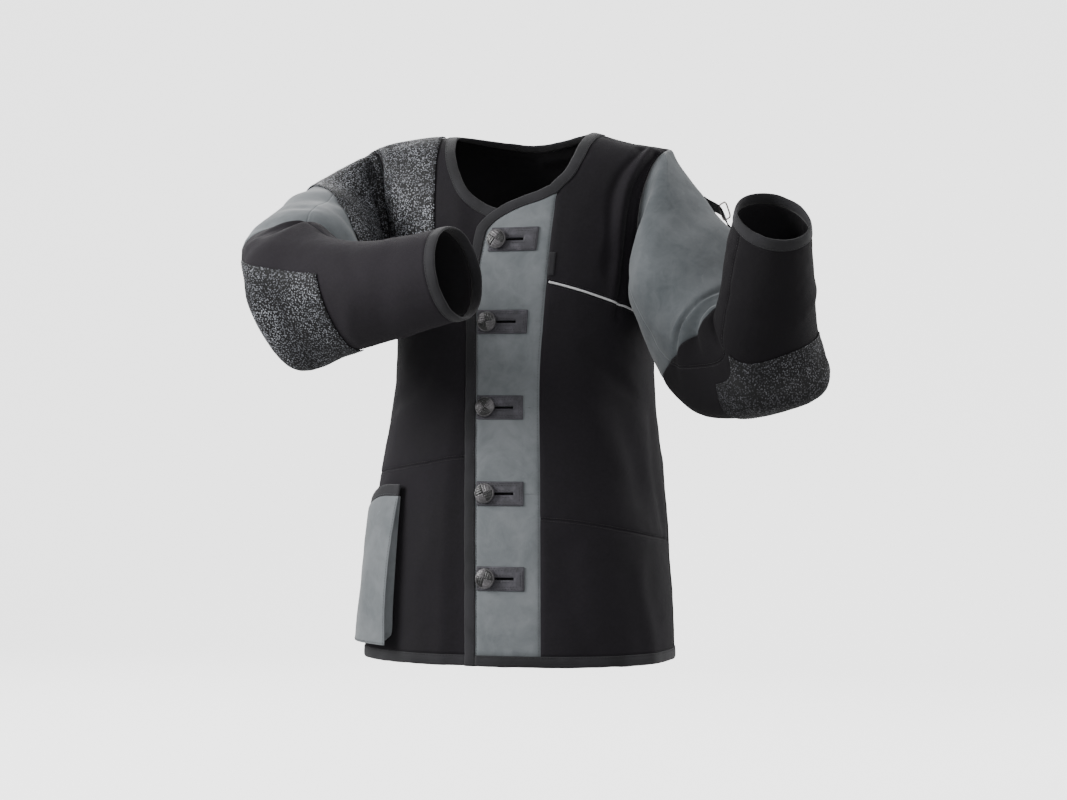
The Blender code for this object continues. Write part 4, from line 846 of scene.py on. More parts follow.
def tapeCloth(name, dark, light):
    paint = Paint(name, {"Specular IOR Level": 0.3, "Sheen Weight": 0.15})
    _, v = paint.weaveLines()
    rib = (v * (2 * math.pi / pitches["tape"])).sine()
    fuzz = paint.noise(420, 3, 0.6)
    patches = paint.step(paint.noise(20, 3, 0.5, 0.4), 0.3, 0.7)
    colour = paint.mix(patches * 0.6 + (fuzz - 0.5) * 0.5 + 0.1, shade(*dark), shade(*light))
    return paint.feed(colour, 0.74 + fuzz * 0.14, rib * 0.35 + fuzz, 0.35, 0.0005)


def leather(name, dark, light, roughness, coat):
    paint = Paint(name, {"Coat Weight": coat, "Coat Roughness": 0.3, "Specular IOR Level": 0.5})
    crease = paint.step(paint.cells({"feature": "DISTANCE_TO_EDGE"}, 850.0, 0.9), 0.0, 0.16)
    rubbed = paint.step(paint.noise(60, 4, 0.6, 0.6), 0.42, 0.74)
    colour = paint.mix(rubbed * 0.8 + 0.1 - (1 - crease) * 0.2, shade(*dark), shade(*light))
    rough = roughness + (1 - crease) * 0.1 - rubbed * 0.06
    return paint.feed(colour, rough, crease + paint.noise(240, 3) * 0.6, 0.30, 0.0005)


def cordCloth(name, dark, light, pitch, slant):
    paint = Paint(name, {"Specular IOR Level": 0.3, "Sheen Weight": 0.2})
    u, v = paint.weaveLines()
    twist = ((u * slant + v) * (2 * math.pi / pitch)).sine()
    colour = paint.mix(twist * 0.25 + paint.noise(500, 2) * 0.5 + 0.1, shade(*dark), shade(*light))
    return paint.feed(colour, 0.6 + paint.noise(300, 2) * 0.2, twist, 0.5, 0.0005)


def metalWire(name, dark, light):
    paint = Paint(name, {"Metallic": 1.0})
    scratches = paint.noise(900, 4, 0.7, 2.0)
    colour = paint.mix(scratches, shade(*dark), shade(*light))
    return paint.feed(colour, 0.18 + scratches * 0.2, scratches, 0.1, 0.0002)


finish = {
    "canvas": canvas("blackCanvas", (11, 9, 13), (22, 19, 24), (48, 45, 50)),
    "charcoal": canvas("charcoalCanvas", (23, 20, 25), (34, 31, 36), (58, 54, 59)),
    # painted shade: a darker copy of the charcoal canvas, for the left forearm
    "shadedCharcoal": canvas("shadedCharcoalCanvas", (7, 5, 8), (13, 11, 14), (36, 33, 38)),
    "inside": canvas("insideCanvas", (15, 14, 16), (23, 21, 24), (37, 35, 38)),
    "suede": suede("greySuede", (101, 106, 109), (122, 126, 129), (154, 158, 161)),
    # painted shade: a darker copy of the grey suede, for the upper left sleeve
    "shadedSuede": suede("shadedGreySuede", (76, 81, 84), (98, 102, 105), (130, 134, 137)),
    "grip": grip("gripCloth", (7, 7, 9), (118, 120, 127), (186, 189, 197)),
    # painted shade: a darker copy of the grip cloth, for the left elbow patch
    "shadedGrip": grip("shadedGripCloth", (7, 7, 9), (74, 74, 79), (116, 117, 123)),
    "tape": tapeCloth("foldedTape", (30, 30, 32), (50, 49, 53)),
    "tabLeather": leather("tabLeather", (58, 57, 63), (90, 88, 96), 0.58, 0.05),
    "buttonLeather": leather("buttonLeather", (5, 5, 5), (16, 15, 16), 0.24, 0.6),
    # painted reflection: a light copy of the button leather, for the rim and two of the four sectors of
    # each button
    "buttonShine": leather("paintedButtonShine", (66, 64, 66), (118, 115, 118), 0.26, 0.6),
    "piping": cordCloth("whitePiping", (206, 206, 208), (244, 244, 246), 0.0016, 0.8),
    "webbing": cordCloth("blackWebbing", (14, 14, 15), (42, 41, 44), 0.0018, 0.5),
    "thread": cordCloth("darkThread", (16, 15, 18), (44, 42, 47), 0.0006, 0.6),
    "greyThread": cordCloth("greyThread", (70, 72, 76), (104, 107, 110), 0.0006, 0.6),
    "wire": metalWire("brightWire", (150, 140, 138), (214, 206, 204)),
}
print("finishes made")

# The front


def leftFront():
    arm, seamRows, yokeRows = leftArm, 4, counts["patchTurn"] // counts["step"]
    piping = between(lines["pipingStart"], armholePlaces(arm, counts["patchTurn"]), counts["front"])
    waist = sample(lines["leftWaist"], counts["front"])
    neckSide = sample(lines["leftNeckSide"], yokeRows - seamRows)
    corner = lines["leftNeckSide"][0]
    seamTop = seamEdge(lines["placketSeam"], lines["pipingStart"][1], corner[1], seamRows)
    inner = chain(seamTop, neckSide)
    inner[0], inner[seamRows] = lines["pipingStart"], corner
    shoulder = between(lines["leftNeckSide"][-1], armholePlaces(arm, 0), counts["front"])
    yoke = coons(piping, shoulder, inner, armholeLine(arm, counts["patchTurn"], 0))
    side = upright(body["side"], lines["leftWaist"][-1][1], arm["armhole"][6][2], counts["side"])
    outer = chain(side, armholeLine(arm, 180, counts["patchTurn"]))
    waistLevel = lines["leftWaist"][0][1]
    edge = seamEdge(lines["placketSeam"], waistLevel, lines["pipingStart"][1], len(outer) - 1)
    edge[0], edge[-1] = waist[0], piping[0]
    panel = coons(waist, piping, edge, outer)
    foot = between(onLine(lines["placketSeam"], panelFoot), (body["side"], panelFoot), counts["front"])
    skirtEdge = seamEdge(lines["placketSeam"], panelFoot, waist[0][1], counts["skirt"])
    skirtSide = upright(body["side"], panelFoot, waist[-1][1], counts["skirt"])
    skirtEdge[-1] = waist[0]
    skirt = coons(foot, waist, skirtEdge, skirtSide)
    inset, piped = thread["inset"], thread["pipedInset"]
    runs = []
    yokeInsets = {"foot": piped, "head": thread["ridgeInset"], "right": inset}
    bodyInsets = {"head": piped, "foot": inset, "right": inset}
    for name, node, places, sewn, insets in (
        ("leftYokeCloth", "front_left_yoke", yoke, everyEdge, yokeInsets),
        ("leftBodyCloth", "front_left_body", panel, everyEdge, bodyInsets),
        ("leftSkirtCloth", "front_left_skirt", skirt, ("head", "left", "right"), {"head": inset}),
    ):
        runs += seamRuns(*clothPiece(name, node, "canvas", bodyForm, places, sewn), **insets)
    stitches("leftFrontStitches", runs, finish["thread"])
    return {"neck": neckSide, "foot": foot, "piping": piping}


def rightFront():
    arm, patchRows, patchColumns, stubRows = rightArm, counts["patchTurn"] // counts["step"], 5, 2
    seam, inset = lines["patchSeam"], thread["inset"]
    patchFoot = between(armholePlaces(arm, counts["patchTurn"]), seam[0], patchColumns)
    patchSide = seamEdge(seam, lines["patchBottom"], 0.0, patchRows)
    shoulder = between(armholePlaces(arm, 0), seam[-1], patchColumns)
    patch = coons(patchFoot, shoulder, armholeLine(arm, counts["patchTurn"], 0), patchSide)
    neck = sample(lines["rightNeckline"], patchRows - stubRows)
    chestTop = between(seam[-1], neck[-1], counts["chest"])
    chestFoot = between(seam[0], (underlap["angle"], lines["patchBottom"]), counts["chest"])
    neckEdge = chain(between(chestFoot[-1], neck[0], stubRows), neck)
    chest = coons(chestFoot, chestTop, patchSide, neckEdge)
    line = np.array(lines["rightWaist"][::-1], float)
    underArm = np.linspace(-body["side"], seam[0][0], patchColumns + 1)
    angles = chain(underArm, np.linspace(seam[0][0], underlap["angle"], counts["chest"] + 1))
    waist = smoothCurve(line[:, 0], line, angles)
    side = upright(-body["side"], waist[0][1], arm["armhole"][6][2], counts["side"])
    side = chain(side, armholeLine(arm, 180, counts["patchTurn"]))
    rows = len(side) - 1
    middle = between(waist[patchColumns], seam[0], rows)
    underPatch = coons(waist[: patchColumns + 1], patchFoot, side, middle)
    underChest = coons(waist[patchColumns:], chestFoot, middle, between(waist[-1], chestFoot[-1], rows))
    lower = np.concatenate([underPatch, underChest[:, 1:]], axis=1)
    upper = np.concatenate([patch, chest[:, 1:]], axis=1)
    panel = np.concatenate([lower, upper[1:]])
    foot = waist.copy()
    foot[:, 1] = panelFoot
    ends = (between(foot[k], waist[k], counts["skirt"]) for k in (0, -1))
    skirt = coons(foot, waist, *ends)
    made = clothPiece(
        "rightFrontCloth", "front_right_upper", "canvas", rightFrontForm, panel, ("foot", "left", "head")
    )
    runs = seamRuns(*made, foot=inset)
    made = clothPiece(
        "rightSkirtCloth", "front_right_skirt", "canvas", rightFrontForm, skirt, ("head", "left")
    )
    runs += seamRuns(*made, head=inset)
    patch[:-1, 0] += (patch[:-1, 1] - patch[:-1, 0]) * cloth["patchSetback"]
    made = clothPiece(
        "shoulderPatchCloth",
        "patch_shoulder",
        "grip",
        rightFrontForm,
        patch,
        thickness=cloth["patchThickness"],
        out=cloth["patchOut"],
    )
    stitches("rightFrontStitches", runs, finish["thread"])
    inset = thread["patchInset"]
    runs = seamRuns(*made, right=inset, foot=inset, left=inset, head=inset)
    stitches("shoulderPatchStitches", runs, finish["thread"])
    return {"neck": neck[::-1], "foot": foot}


def backPanel():
    right = armholeLine(rightArm, 180, 360)
    right[:, 0] += 360
    armpit = leftArm["armhole"][6][2]
    sides = []
    for angle, waist, armhole in (
        (body["side"], lines["leftWaist"][-1][1], armholeLine(leftArm, 180, 360)),
        (360 - body["side"], lines["rightWaist"][-1][1], right),
    ):
        low = upright(angle, panelFoot, waist, counts["skirt"])
        sides.append(chain(low, upright(angle, waist, armpit, counts["side"]), armhole))
    neck = sample(lines["backNeckline"], counts["backNeck"])
    leftShoulder = between(sides[0][-1], neck[0], counts["front"])
    top = chain(leftShoulder, neck, between(neck[-1], right[-1], counts["front"]))
    foot = between((body["side"], panelFoot), (360 - body["side"], panelFoot), len(top) - 1)
    places, sewn = coons(foot, top, *sides), ("left", "right")
    made = clothPiece("backCloth", "back", "canvas", bodyForm, places, sewn, cloth["backMesh"])
    runs = seamRuns(*made, left=thread["inset"], right=thread["inset"])
    stitches("backStitches", runs, finish["thread"])
    return {"neck": neck, "foot": foot}


# Placket, tabs and buttons

placketLook = {
    "shares": (0.0, 0.14, 0.25, 0.36, 0.48, 0.60, 0.80, 1.0),
    "slot": (1, 5),
    "slotHalf": 0.0022,
    # height, start, button, end of each tab, as shares of the placket's width
    "tabs": [
        (-0.592, 0.03, 0.175, 0.75), (-0.482, 0.03, 0.170, 0.74), (-0.370, 0.03, 0.170, 0.74),
        (-0.257, 0.03, 0.185, 0.76), (-0.148, 0.10, 0.205, 0.80),
    ],
    "tabHalf": 0.0152,
    "tabLift": 0.0004,
    "tabMesh": 0.0015,
    "tabInsets": (0.0020, 0.0046),
    "slotTrim": (0.006, 0.012),
    "mesh": 0.0036,
    "seamInset": 0.0026,
    "edgeInset": 0.0020,
}


def placketRow(height, shares):
    level = levelOf(height)
    start, end = onLine(lines["frontEdge"], level), onLine(lines["placketSeam"], level)
    return start + (end - start) * np.asarray(shares)[:, None]


def placket():
    tabs, half = placketLook["tabs"], placketLook["slotHalf"]
    heights, holes = [panelFoot, (panelFoot + tabs[0][0]) / 2], []
    for tab, above in zip(tabs, tabs[1:] + [None]):
        holes.append((len(heights), len(heights) + 1, *placketLook["slot"]))
        heights += [tab[0] - half, tab[0] + half]
        if above:
            heights += [tab[0] + (above[0] - tab[0]) * share for share in (1 / 3, 2 / 3)]
    straight = np.array([placketRow(height, placketLook["shares"]) for height in heights])
    neck = sample(lines["leftNeckline"], 0, placketLook["shares"])
    last = straight[-1]
    rounded = coons(last, neck, between(last[0], neck[0], 2), between(last[-1], neck[-1], 2))
    places, sewn = np.concatenate([straight, rounded[1:]]), ("left", "right")
    mesh = placketLook["mesh"]
    made = clothPiece("placketSuede", "placket", "suede", bodyForm, places, sewn, mesh, holes=holes)
    runs = seamRuns(*made, right=placketLook["seamInset"], left=placketLook["edgeInset"])
    stitches("placketStitches", runs, finish["greyThread"])
    return {"neck": neck, "foot": straight[0], "edge": places[:, 0]}


buttonLook = {
    "radius": 0.0135,
    "dome": 0.0057,
    "domeReach": 0.985,
    "domePower": 2.6,
    "side": 0.0012,
    "root": 0.0006,
    "lip": (0.93, 0.0004),
    "base": 0.70,
    "gap": 0.0010,
    "shank": 0.0017,
    "rings": 30,
    "spokes": 96,
    "strands": 4,
    "strandHeight": 0.0007,
    "rimStart": 0.86,
    "rimHeight": 0.0009,
    "turns": (0.30, 0.55, 0.80, 0.12, 0.42),
}


def braidHeight(x, y):  # four woven sectors, their strands crossing like a basket's, in a smooth rim
    across = np.where(x * y > 0, x, y) * buttonLook["strands"]
    strand = np.sqrt(np.clip(1 - ((np.abs(across) % 1.0) * 2 - 1) ** 2, 0, 1))
    cross = np.minimum(np.abs(x), np.abs(y))
    woven = strand * smoothStep(cross, -0.02, 0.07) + 0.25 * smoothStep(cross, 0.0, 0.05)
    reach, start = np.hypot(x, y), buttonLook["rimStart"]
    rim = np.sqrt(np.clip(1 - ((reach - (1 + start) / 2) / ((1 - start) / 2)) ** 2, 0, 1))
    woven = woven * smoothStep(reach, start, start - 0.06)
    return woven * buttonLook["strandHeight"] + rim * buttonLook["rimHeight"]


def tabLeather(number, row):
    half, slotHalf = placketLook["tabHalf"], placketLook["slotHalf"]
    first, last = placketLook["slot"]
    level, start, _, end = row
    shares = [start, *placketLook["shares"][first : last + 1], end]
    offsets = (-half, -slotHalf, slotHalf, half)
    places = np.array([placketRow(level + offset, shares) for offset in offsets])
    points, outward = clothPiece(
        f"tabLeather{number}",
        f"tab_{number}",
        "tab_leather",
        bodyForm,
        places,
        size=placketLook["tabMesh"],
        thickness=cloth["patchThickness"],
        out=placketLook["tabLift"] + cloth["patchThickness"],
        holes=[(1, 2, first, last)],
        made=(finish["tabLeather"],),
    )
    runs = []
    for inset in placketLook["tabInsets"]:
        for edge in ("foot", "head", "left", "right"):
            runs.append(insetLine(points, outward, edge, inset, (inset, inset)))
    for edge in ("foot", "head"):
        besideSlot = insetLine(points, outward, edge, half - slotHalf - thread["inset"])
        runs.append(trimLine(*besideSlot, *placketLook["slotTrim"]))
    stitches(f"tabStitches{number}", runs, finish["thread"])


def braidedButton(number, row, turned):
    look, spokes = buttonLook, buttonLook["spokes"]
    level, _, share, _ = row
    seat, outward = rightFrontForm(placketRow(level, [share])[None])
    axis, foot = outward[0, 0], seat[0, 0]
    side = unit(np.cross(axis, [0.0, 0.0, 1.0]))
    other = np.cross(axis, side)
    neck = underlap["drop"] + 2 * cloth["proud"] + cloth["patchThickness"] + look["gap"]
    reach = np.linspace(0, 1, look["rings"] + 1)[1:, None]
    turn = np.linspace(0, 2 * math.pi, spokes, endpoint=False)
    x, y, spin = reach * np.cos(turn), reach * np.sin(turn), turned * math.pi
    x, y = x * math.cos(spin) + y * math.sin(spin), y * math.cos(spin) - x * math.sin(spin)
    dome = look["dome"] * np.sqrt(np.clip(1 - (reach * look["domeReach"]) ** look["domePower"], 0, 1))
    tall = neck + look["side"] + dome + braidHeight(x, y)
    shank, (lip, rise) = look["shank"] / look["radius"], look["lip"]
    under = np.array([(lip, neck + rise), (look["base"], neck), (shank, neck), (shank, look["root"])])
    share = np.concatenate([reach, under[:, :1]]) * look["radius"]
    rise = np.concatenate([tall, np.repeat(under[:, 1:], spokes, axis=1)])
    spoke = side * np.cos(turn)[:, None] + other * np.sin(turn)[:, None]
    rings = foot + axis * rise[..., None] + spoke * share[..., None]
    tip, root = foot + axis * tall[0].mean(), foot + axis * look["root"]
    points = np.concatenate([[tip], rings.reshape(-1, 3), [root]])
    end, faces, paintedShine = len(points) - 1, [], []
    for k in range(spokes):
        after = (k + 1) % spokes
        faces += [(0, 1 + after, 1 + k), (end, end - spokes + k, end - spokes + after)]
        paintedShine += [0, 0]
        for ring in range(len(rings) - 1):
            a, b = 1 + ring * spokes + k, 1 + ring * spokes + after
            faces.append((a, b, b + spokes, a + spokes))
            # the rim and the sectors where x and y share a sign take the light copy of the leather:
            # painted reflection
            onTop = ring < len(reach) - 1
            paintedShine.append(int(onTop and (reach[ring, 0] > look["rimStart"] or x[ring, k] * y[ring, k] > 0)))
    uv = (points - foot) @ np.stack([side, other], axis=1)
    made = [finish["buttonLeather"], finish["buttonShine"]]
    piece = addMesh(f"braidedButton{number}", points, faces, uv, made, paintedShine)
    dress(piece, f"button_{number}")


# Tapes, piping and label

tapeLook = {
    # how far across, how far out: once round the folded tape
    "section": [
        (0.000, 0.0004), (0.030, 0.0010), (0.110, 0.0006), (0.200, 0.0010), (0.500, 0.0011),
        (0.820, 0.0008), (0.940, 0.0001), (1.000, -0.0011), (0.940, -0.0021), (0.820, -0.0026),
        (0.300, -0.0027), (0.000, -0.0024),
    ],
    "spacing": 0.0035,
    "leastStep": 0.002,
    "fineness": 6,
    "gap": 0.0004,
    "sway": 0.0006,
    "swayScale": 60,
    "swayOut": 0.2,
    "showing": 1.12,
    "stitchShare": 0.11,
    "stitchOut": 0.0006,
    "stitchLift": 0.0002,
}


def tidyLine(points, outward, spacing):
    kept = [0]
    for k in range(1, len(points)):
        if np.linalg.norm(points[k] - points[kept[-1]]) > tapeLook["leastStep"]:
            kept.append(k)
    points, outward = points[kept], outward[kept]
    length = lengthOf(points)
    spots = np.linspace(0, length[-1], max(4, round(length[-1] / spacing)))
    return smoothCurve(length, points, spots), unit(smoothCurve(length, outward, spots))


def aheadOf(line, closed=False):
    if closed:
        return unit(np.roll(line, -1, axis=0) - np.roll(line, 1, axis=0))
    return unit(np.gradient(line, axis=0))


def ringMesh(name, lattice, across, line, made, closed, forward):  # rings along a line, with caps
    rows, columns = lattice.shape[:2]
    faces = []
    for row in range(rows if closed else rows - 1):
        here, above = row * columns, (row + 1) % rows * columns
        for k in range(columns):
            after = (k + 1) % columns
            faces.append((here + k, here + after, above + after, above + k))
    if not closed:
        faces += [list(range(columns))[::-1], [(rows - 1) * columns + k for k in range(columns)]]
    if not forward:
        faces = [face[::-1] for face in faces]
    uv = np.stack(np.broadcast_arrays(across, lengthOf(line)[:, None]), axis=-1).reshape(-1, 2)
    return addMesh(name, lattice.reshape(-1, 3), faces, uv, [made])


def tape(name, node, points, outward, side, closed=False):
    look, width = tapeLook, cloth["tapeWidth"]
    points, outward = tidyLine(points, outward, look["spacing"])
    if closed:
        points, outward = points[:-1], outward[:-1]
    beyond = unit(np.cross(outward, aheadOf(points, closed))) * side
    sway = noiseAt(points, look["swayScale"], 5.0)[:, None] * look["sway"]
    section = np.array(look["section"])
    ring = []
    for across, out in section:
        reach = beyond * (look["gap"] + across * width) + beyond * sway * across
        ring.append(points + reach + outward * (out + look["swayOut"] * sway))
    lattice = np.stack(ring, axis=1)
    piece = ringMesh(name, lattice, section[:, 0] * width, points, finish["tape"], closed, side > 0)
    dress(piece, node)
    run = float(lengthOf(points)[-1])
    line = points + beyond * (look["gap"] + look["stitchShare"] * width) + outward * look["stitchOut"]
    if closed:
        line, outward = np.concatenate([line, line[:1]]), np.concatenate([outward, outward[:1]])
    stitches(name + "Stitches", [(line, outward)], finish["thread"], look["stitchLift"])


def lineOf(points, outward):  # a single row with the cloth's unevenness
    return liveIn(np.repeat(points, 2, axis=0), np.repeat(outward, 2, axis=0))[0], outward[0]


def lineOn(form, places):
    return lineOf(*form(finerLine(places, tapeLook["fineness"])[None]))


def joined(runs):
    return [np.concatenate(part) for part in zip(*runs)]


def bindings(strip, left, right, behind):
    footEdge = strip["edge"][0] - [0, cloth["tapeWidth"] + cloth["seamGap"]]
    runs = [
        lineOn(bodyForm, np.concatenate([[footEdge], strip["edge"]])),
        lineOn(bodyForm, strip["neck"]),
        lineOn(bodyForm, left["neck"]),
        lineOn(bodyForm, behind["neck"]),
        lineOn(rightFrontForm, right["neck"]),
    ]
    tape("frontAndNeckTape", "binding_front_and_neck", *joined(runs), 1)
    runs = [lineOn(bodyForm, part["foot"]) for part in (strip, left, behind)]
    runs.append(lineOn(rightFrontForm, right["foot"]))
    tape("hemTape", "binding_hem", *joined(runs), -1)


pipingLook = {"radius": 0.0015, "lift": 0.0007, "sides": 10, "spacing": 0.003}
labelLook = {
    "top": -0.166,
    "bottom": -0.196,
    "angle": 18,
    "start": 0.2,
    "end": 2.6,
    "thickness": 0.0010,
    "mesh": 0.0018,
}


def tube(name, line, radius, sides, made, closed=False):
    ahead = aheadOf(line, closed)
    helper = np.array([0.0, 0.0, 1.0]) if abs(ahead[:, 2]).max() < 0.9 else np.array([1.0, 0.0, 0.0])
    first = unit(np.cross(ahead, helper))
    second = np.cross(ahead, first)
    turn = np.linspace(0, 2 * math.pi, sides, endpoint=False)
    ring = first[:, None] * np.cos(turn)[None, :, None] + second[:, None] * np.sin(turn)[None, :, None]
    return ringMesh(name, line[:, None] + ring * radius, turn * radius, line, made, closed, False)


def pipingAndLabel(piping):
    points, outward = tidyLine(*lineOn(bodyForm, piping), pipingLook["spacing"])
    points, outward = points[1:-3], outward[1:-3]  # clear of the placket's seam and the armhole
    line = points + outward * pipingLook["lift"]
    piece = tube("chestPiping", line, pipingLook["radius"], pipingLook["sides"], finish["piping"])
    dress(piece, "piping_left")
    look, rows = labelLook, []
    for height in np.linspace(look["bottom"], look["top"], 3):
        start = onLine(lines["placketSeam"], levelOf(height, look["angle"]))
        rows.append([start + (look["start"], 0), start + (look["end"], 0)])
    clothPiece(
        "seamLabel",
        "label",
        "tape",
        bodyForm,
        np.array(rows),
        size=look["mesh"],
        thickness=look["thickness"],
        out=cloth["proud"] + look["thickness"],
        made=(finish["tape"],),
    )


# Pocket

pocketLook = {
    "top": -0.474,
    "foot": -0.684,
    "front": -39,
    "back": -104,
    "scoop": 0.028,
    "cloth": 0.0016,
    "tape": 0.0026,
    "inset": 1.3,
    "rise": 0.004,
    "fold": 0.005,
    "gap": 0.0009,
    "corner": [(0.0, 0.012), (2.4, 0.004), (4.6, 0.0)],
    "footStart": 9.5,
    "flat": 15,
    "columns": 55,
    "faceRows": 50,
    "tapeRows": 6,
    "gussetRows": 13,
    "fineness": 5,
    "sag": 0.0022,
    "ripple": 0.0012,
    "rippleScale": 55,
    "tapeInset": 0.0018,
    # level, depth at the front, depth at the back
    "rows": [
        (-0.684, 0.019, 0.008), (-0.640, 0.021, 0.008), (-0.560, 0.018, 0.007), (-0.474, 0.008, 0.006),
    ],
}


def pocketDepth(places):
    angle, level = places[..., 0], places[..., 1]
    front, back = column(pocketLook["rows"], 1, level), column(pocketLook["rows"], 2, level)
    flatEnd = pocketLook["back"] + pocketLook["flat"]
    return back + (front - back) * smoothStep(angle, flatEnd, pocketLook["front"])


def pocketShare(angle):  # 0 at the back edge, 1 at the front edge
    return (angle - pocketLook["back"]) / (pocketLook["front"] - pocketLook["back"])


def pocketMouth(angle):
    return pocketLook["top"] - pocketLook["scoop"] * np.sin(math.pi * pocketShare(angle)) ** 4


def pocketSheet(name, node, slotName, start, end, rows, thickness, sag):
    look = pocketLook
    angles = np.linspace(look["back"], look["front"], look["columns"] + 1)
    start, end = start(angles), end(angles)
    levels = start + (end - start) * np.linspace(0, 1, rows + 1)[:, None]
    places = np.stack([np.broadcast_to(angles, levels.shape), levels], axis=-1)
    points, outward = plainBody(places)
    share = pocketShare(places[..., 0])
    lift = pocketDepth(places) + (thickness - look["cloth"]) / 2
    wave = sag * np.sin(share * 7.3 + levels * 31) * np.sin(math.pi * share)
    points = liveIn(points + outward * lift[..., None], outward) + outward * wave[..., None]
    piece = shell(name, points, outward, thickness, (finish[slotName], finish["inside"]))
    declareSheet(dress(piece, node), points)
    return points, outward


def pocketGusset():
    look = pocketLook
    foot, top = look["foot"] + look["rise"], look["corner"][0][1]
    ends = look["back"] + look["inset"], look["front"] - look["inset"]
    sides = []
    for edge, step in zip(ends, (1, -1)):
        side = between((edge, pocketMouth(edge) - cloth["tapeWidth"]), (edge, foot + top), 6).tolist()
        sides.append(side + [(edge + step * turn, foot + rise) for turn, rise in look["corner"][1:]])
    middle = between((ends[0] + look["footStart"], foot), (ends[1] - look["footStart"], foot), 7)
    route = finerLine(np.concatenate([sides[0], middle, sides[1][::-1]]), look["fineness"])
    points, outward = (x[0] for x in plainBody(route[None]))
    away = unit(np.cross(np.gradient(points, axis=0), outward))
    full = pocketDepth(route) - look["cloth"] - 2 * look["gap"]
    fold = look["fold"] + noiseAt(points, look["rippleScale"], 9.0) * look["ripple"]
    lines = []
    for share in np.linspace(0, 1, look["gussetRows"]):
        sink = fold * (1 - abs(2 * share - 1)) ** 0.8
        lines.append(points + outward * (look["gap"] + full * share)[:, None] - away * sink[:, None])
    lattice, facing = np.stack(lines, axis=1), np.stack([away] * len(lines), axis=1)
    made = finish["suede"], finish["inside"]
    piece = shell("pocketGussetSuede", lattice, facing, look["cloth"], made)
    declareSheet(dress(piece, "pocket_gusset"), lattice)


def pocket():
    look, inset = pocketLook, thread["inset"]
    made = pocketSheet(
        "pocketFaceSuede",
        "pocket_face",
        "suede",
        lambda angles: np.full(len(angles), look["foot"]),
        lambda angles: pocketMouth(angles) - cloth["tapeWidth"],
        look["faceRows"],
        look["cloth"],
        look["sag"],
    )
    runs = seamRuns(*made, left=inset, right=inset, foot=inset)
    made = pocketSheet(
        "pocketTape",
        "pocket_binding",
        "tape",
        lambda angles: pocketMouth(angles) - cloth["tapeWidth"] + cloth["seamGap"],
        pocketMouth,
        look["tapeRows"],
        look["tape"],
        0.0,
    )
    runs += seamRuns(*made, foot=look["tapeInset"])
    pocketGusset()
    stitches("pocketStitches", runs, finish["greyThread"])


# Sleeves

bands = (4, 4, 2, 5, 5)  # rows of a sleeve from one seam to the next


def lineStations(arm, number, turns):
    table = arm["seams"]
    turn, station = [row[0] for row in table], [row[number] for row in table]
    turn = [turn[-1] - 360] + turn + [turn[0] + 360, turn[1] + 360]
    return smoothCurve(turn, [station[-1]] + station + station[:2], np.asarray(turns, float) % 360)


def sleeveRows(arm, turns):
    foot = np.full(len(turns), arm["rings"][-1][0] - cloth["tapeWidth"] - cloth["seamGap"])
    edges = [np.zeros(len(turns)), *(lineStations(arm, k, turns) for k in (1, 2, 3, 4)), foot]
    rows, marks = [edges[0]], [0]
    for start, end, count in zip(edges, edges[1:], bands):
        rows += [start + (end - start) * k / count for k in range(1, count + 1)]
        marks.append(len(rows) - 1)
    return np.array(rows), marks


def sleevePoints(arm, places):
    points, outward = sleeveForm(arm, places)
    if places[0, 0, 1] < 1e-9:
        turns = places[0, :, 0]
        seam, bodyOut = plainBody(armholePlaces(arm, (turns - arm["twist"]) % 360))
        loop = plainBody(armholePlaces(arm, np.arange(0.0, 360, 30)))[0]
        away = loop.mean(axis=0) - seam
        away = unit(away - bodyOut * np.sum(away * bodyOut, axis=-1, keepdims=True))
        first = unit(outward[0] + bodyOut)
        lean = np.maximum(np.sum(first * away, axis=-1, keepdims=True), 0)
        outward[0] = unit(first - away * lean)
        points[0] = seam + away * 0.0005
    return points, outward


def sleeveLattice(arm, turns, first, last, size):
    stations = sleeveRows(arm, turns)[0][first : last + 1]
    places = np.stack([np.broadcast_to(turns, stations.shape), stations], axis=-1)
    rowSteps = max(1, round(np.ptp(stations, axis=0).max() / size / (last - first)))
    columnSteps = max(1, round(counts["step"] * cloth["turnDegree"] / size))
    return refine(places, rowSteps, columnSteps)


def makeSleeve(label, arm, topTurn, upper, lower):
    marks, inset, runs = sleeveRows(arm, np.array([0.0]))[1], thread["inset"], []
    for half, start, end, under in (
        ("inner", topTurn, 180, "right"),
        ("outer", 180, 360 + topTurn, "left"),
    ):
        turns = np.arange(start, end + 1, counts["step"])
        for part, first, last, slotName, made, sewn in (
            ("sleeve", 0, marks[2], "suede", upper, ("foot", "head")),
            ("forearm", marks[2], marks[-1], "charcoal", lower, ("foot", "left", "right")),
        ):
            places = sleeveLattice(arm, turns, first, last, cloth["sleeveMesh"])
            points, outward = sleevePoints(arm, places)
            points = liveIn(points, outward, sewn)
            name = f"{label}{part.title()}{half.title()}"
            piece = shell(name, points, outward, cloth["thickness"], (made, finish["inside"]))
            declareSheet(dress(piece, f"{part}_{label}_{half}"), points)
            if part == "forearm":
                runs += seamRuns(points, outward, **{"foot": inset, under: inset})
    stitches(label + "SleeveStitches", runs, finish["thread"])
    turns = np.linspace(0, 360, counts["cuff"] + 1)
    foot = np.stack([turns, sleeveRows(arm, turns)[0][-1]], axis=-1)
    line = lineOf(*sleeveForm(arm, foot[None]))
    tape(label + "CuffTape", f"binding_cuff_{label}", *line, arm["side"], closed=True)


def sleevePatch(name, node, arm, start, end, first, last, made):
    turns = np.arange(start, end + 1, counts["step"])
    points, outward = sleevePoints(arm, sleeveLattice(arm, turns, first, last, cloth["patchMesh"]))
    points = liveIn(points, outward) + outward * cloth["patchOut"]
    piece = shell(name, points, outward, cloth["patchThickness"], (made, finish["inside"]))
    declareSheet(dress(piece, node), points)
    runs = [insetLine(points, outward, edge, thread["inset"]) for edge in everyEdge]
    stitches(name + "Stitches", runs, finish["thread"])


# Strap and buckle

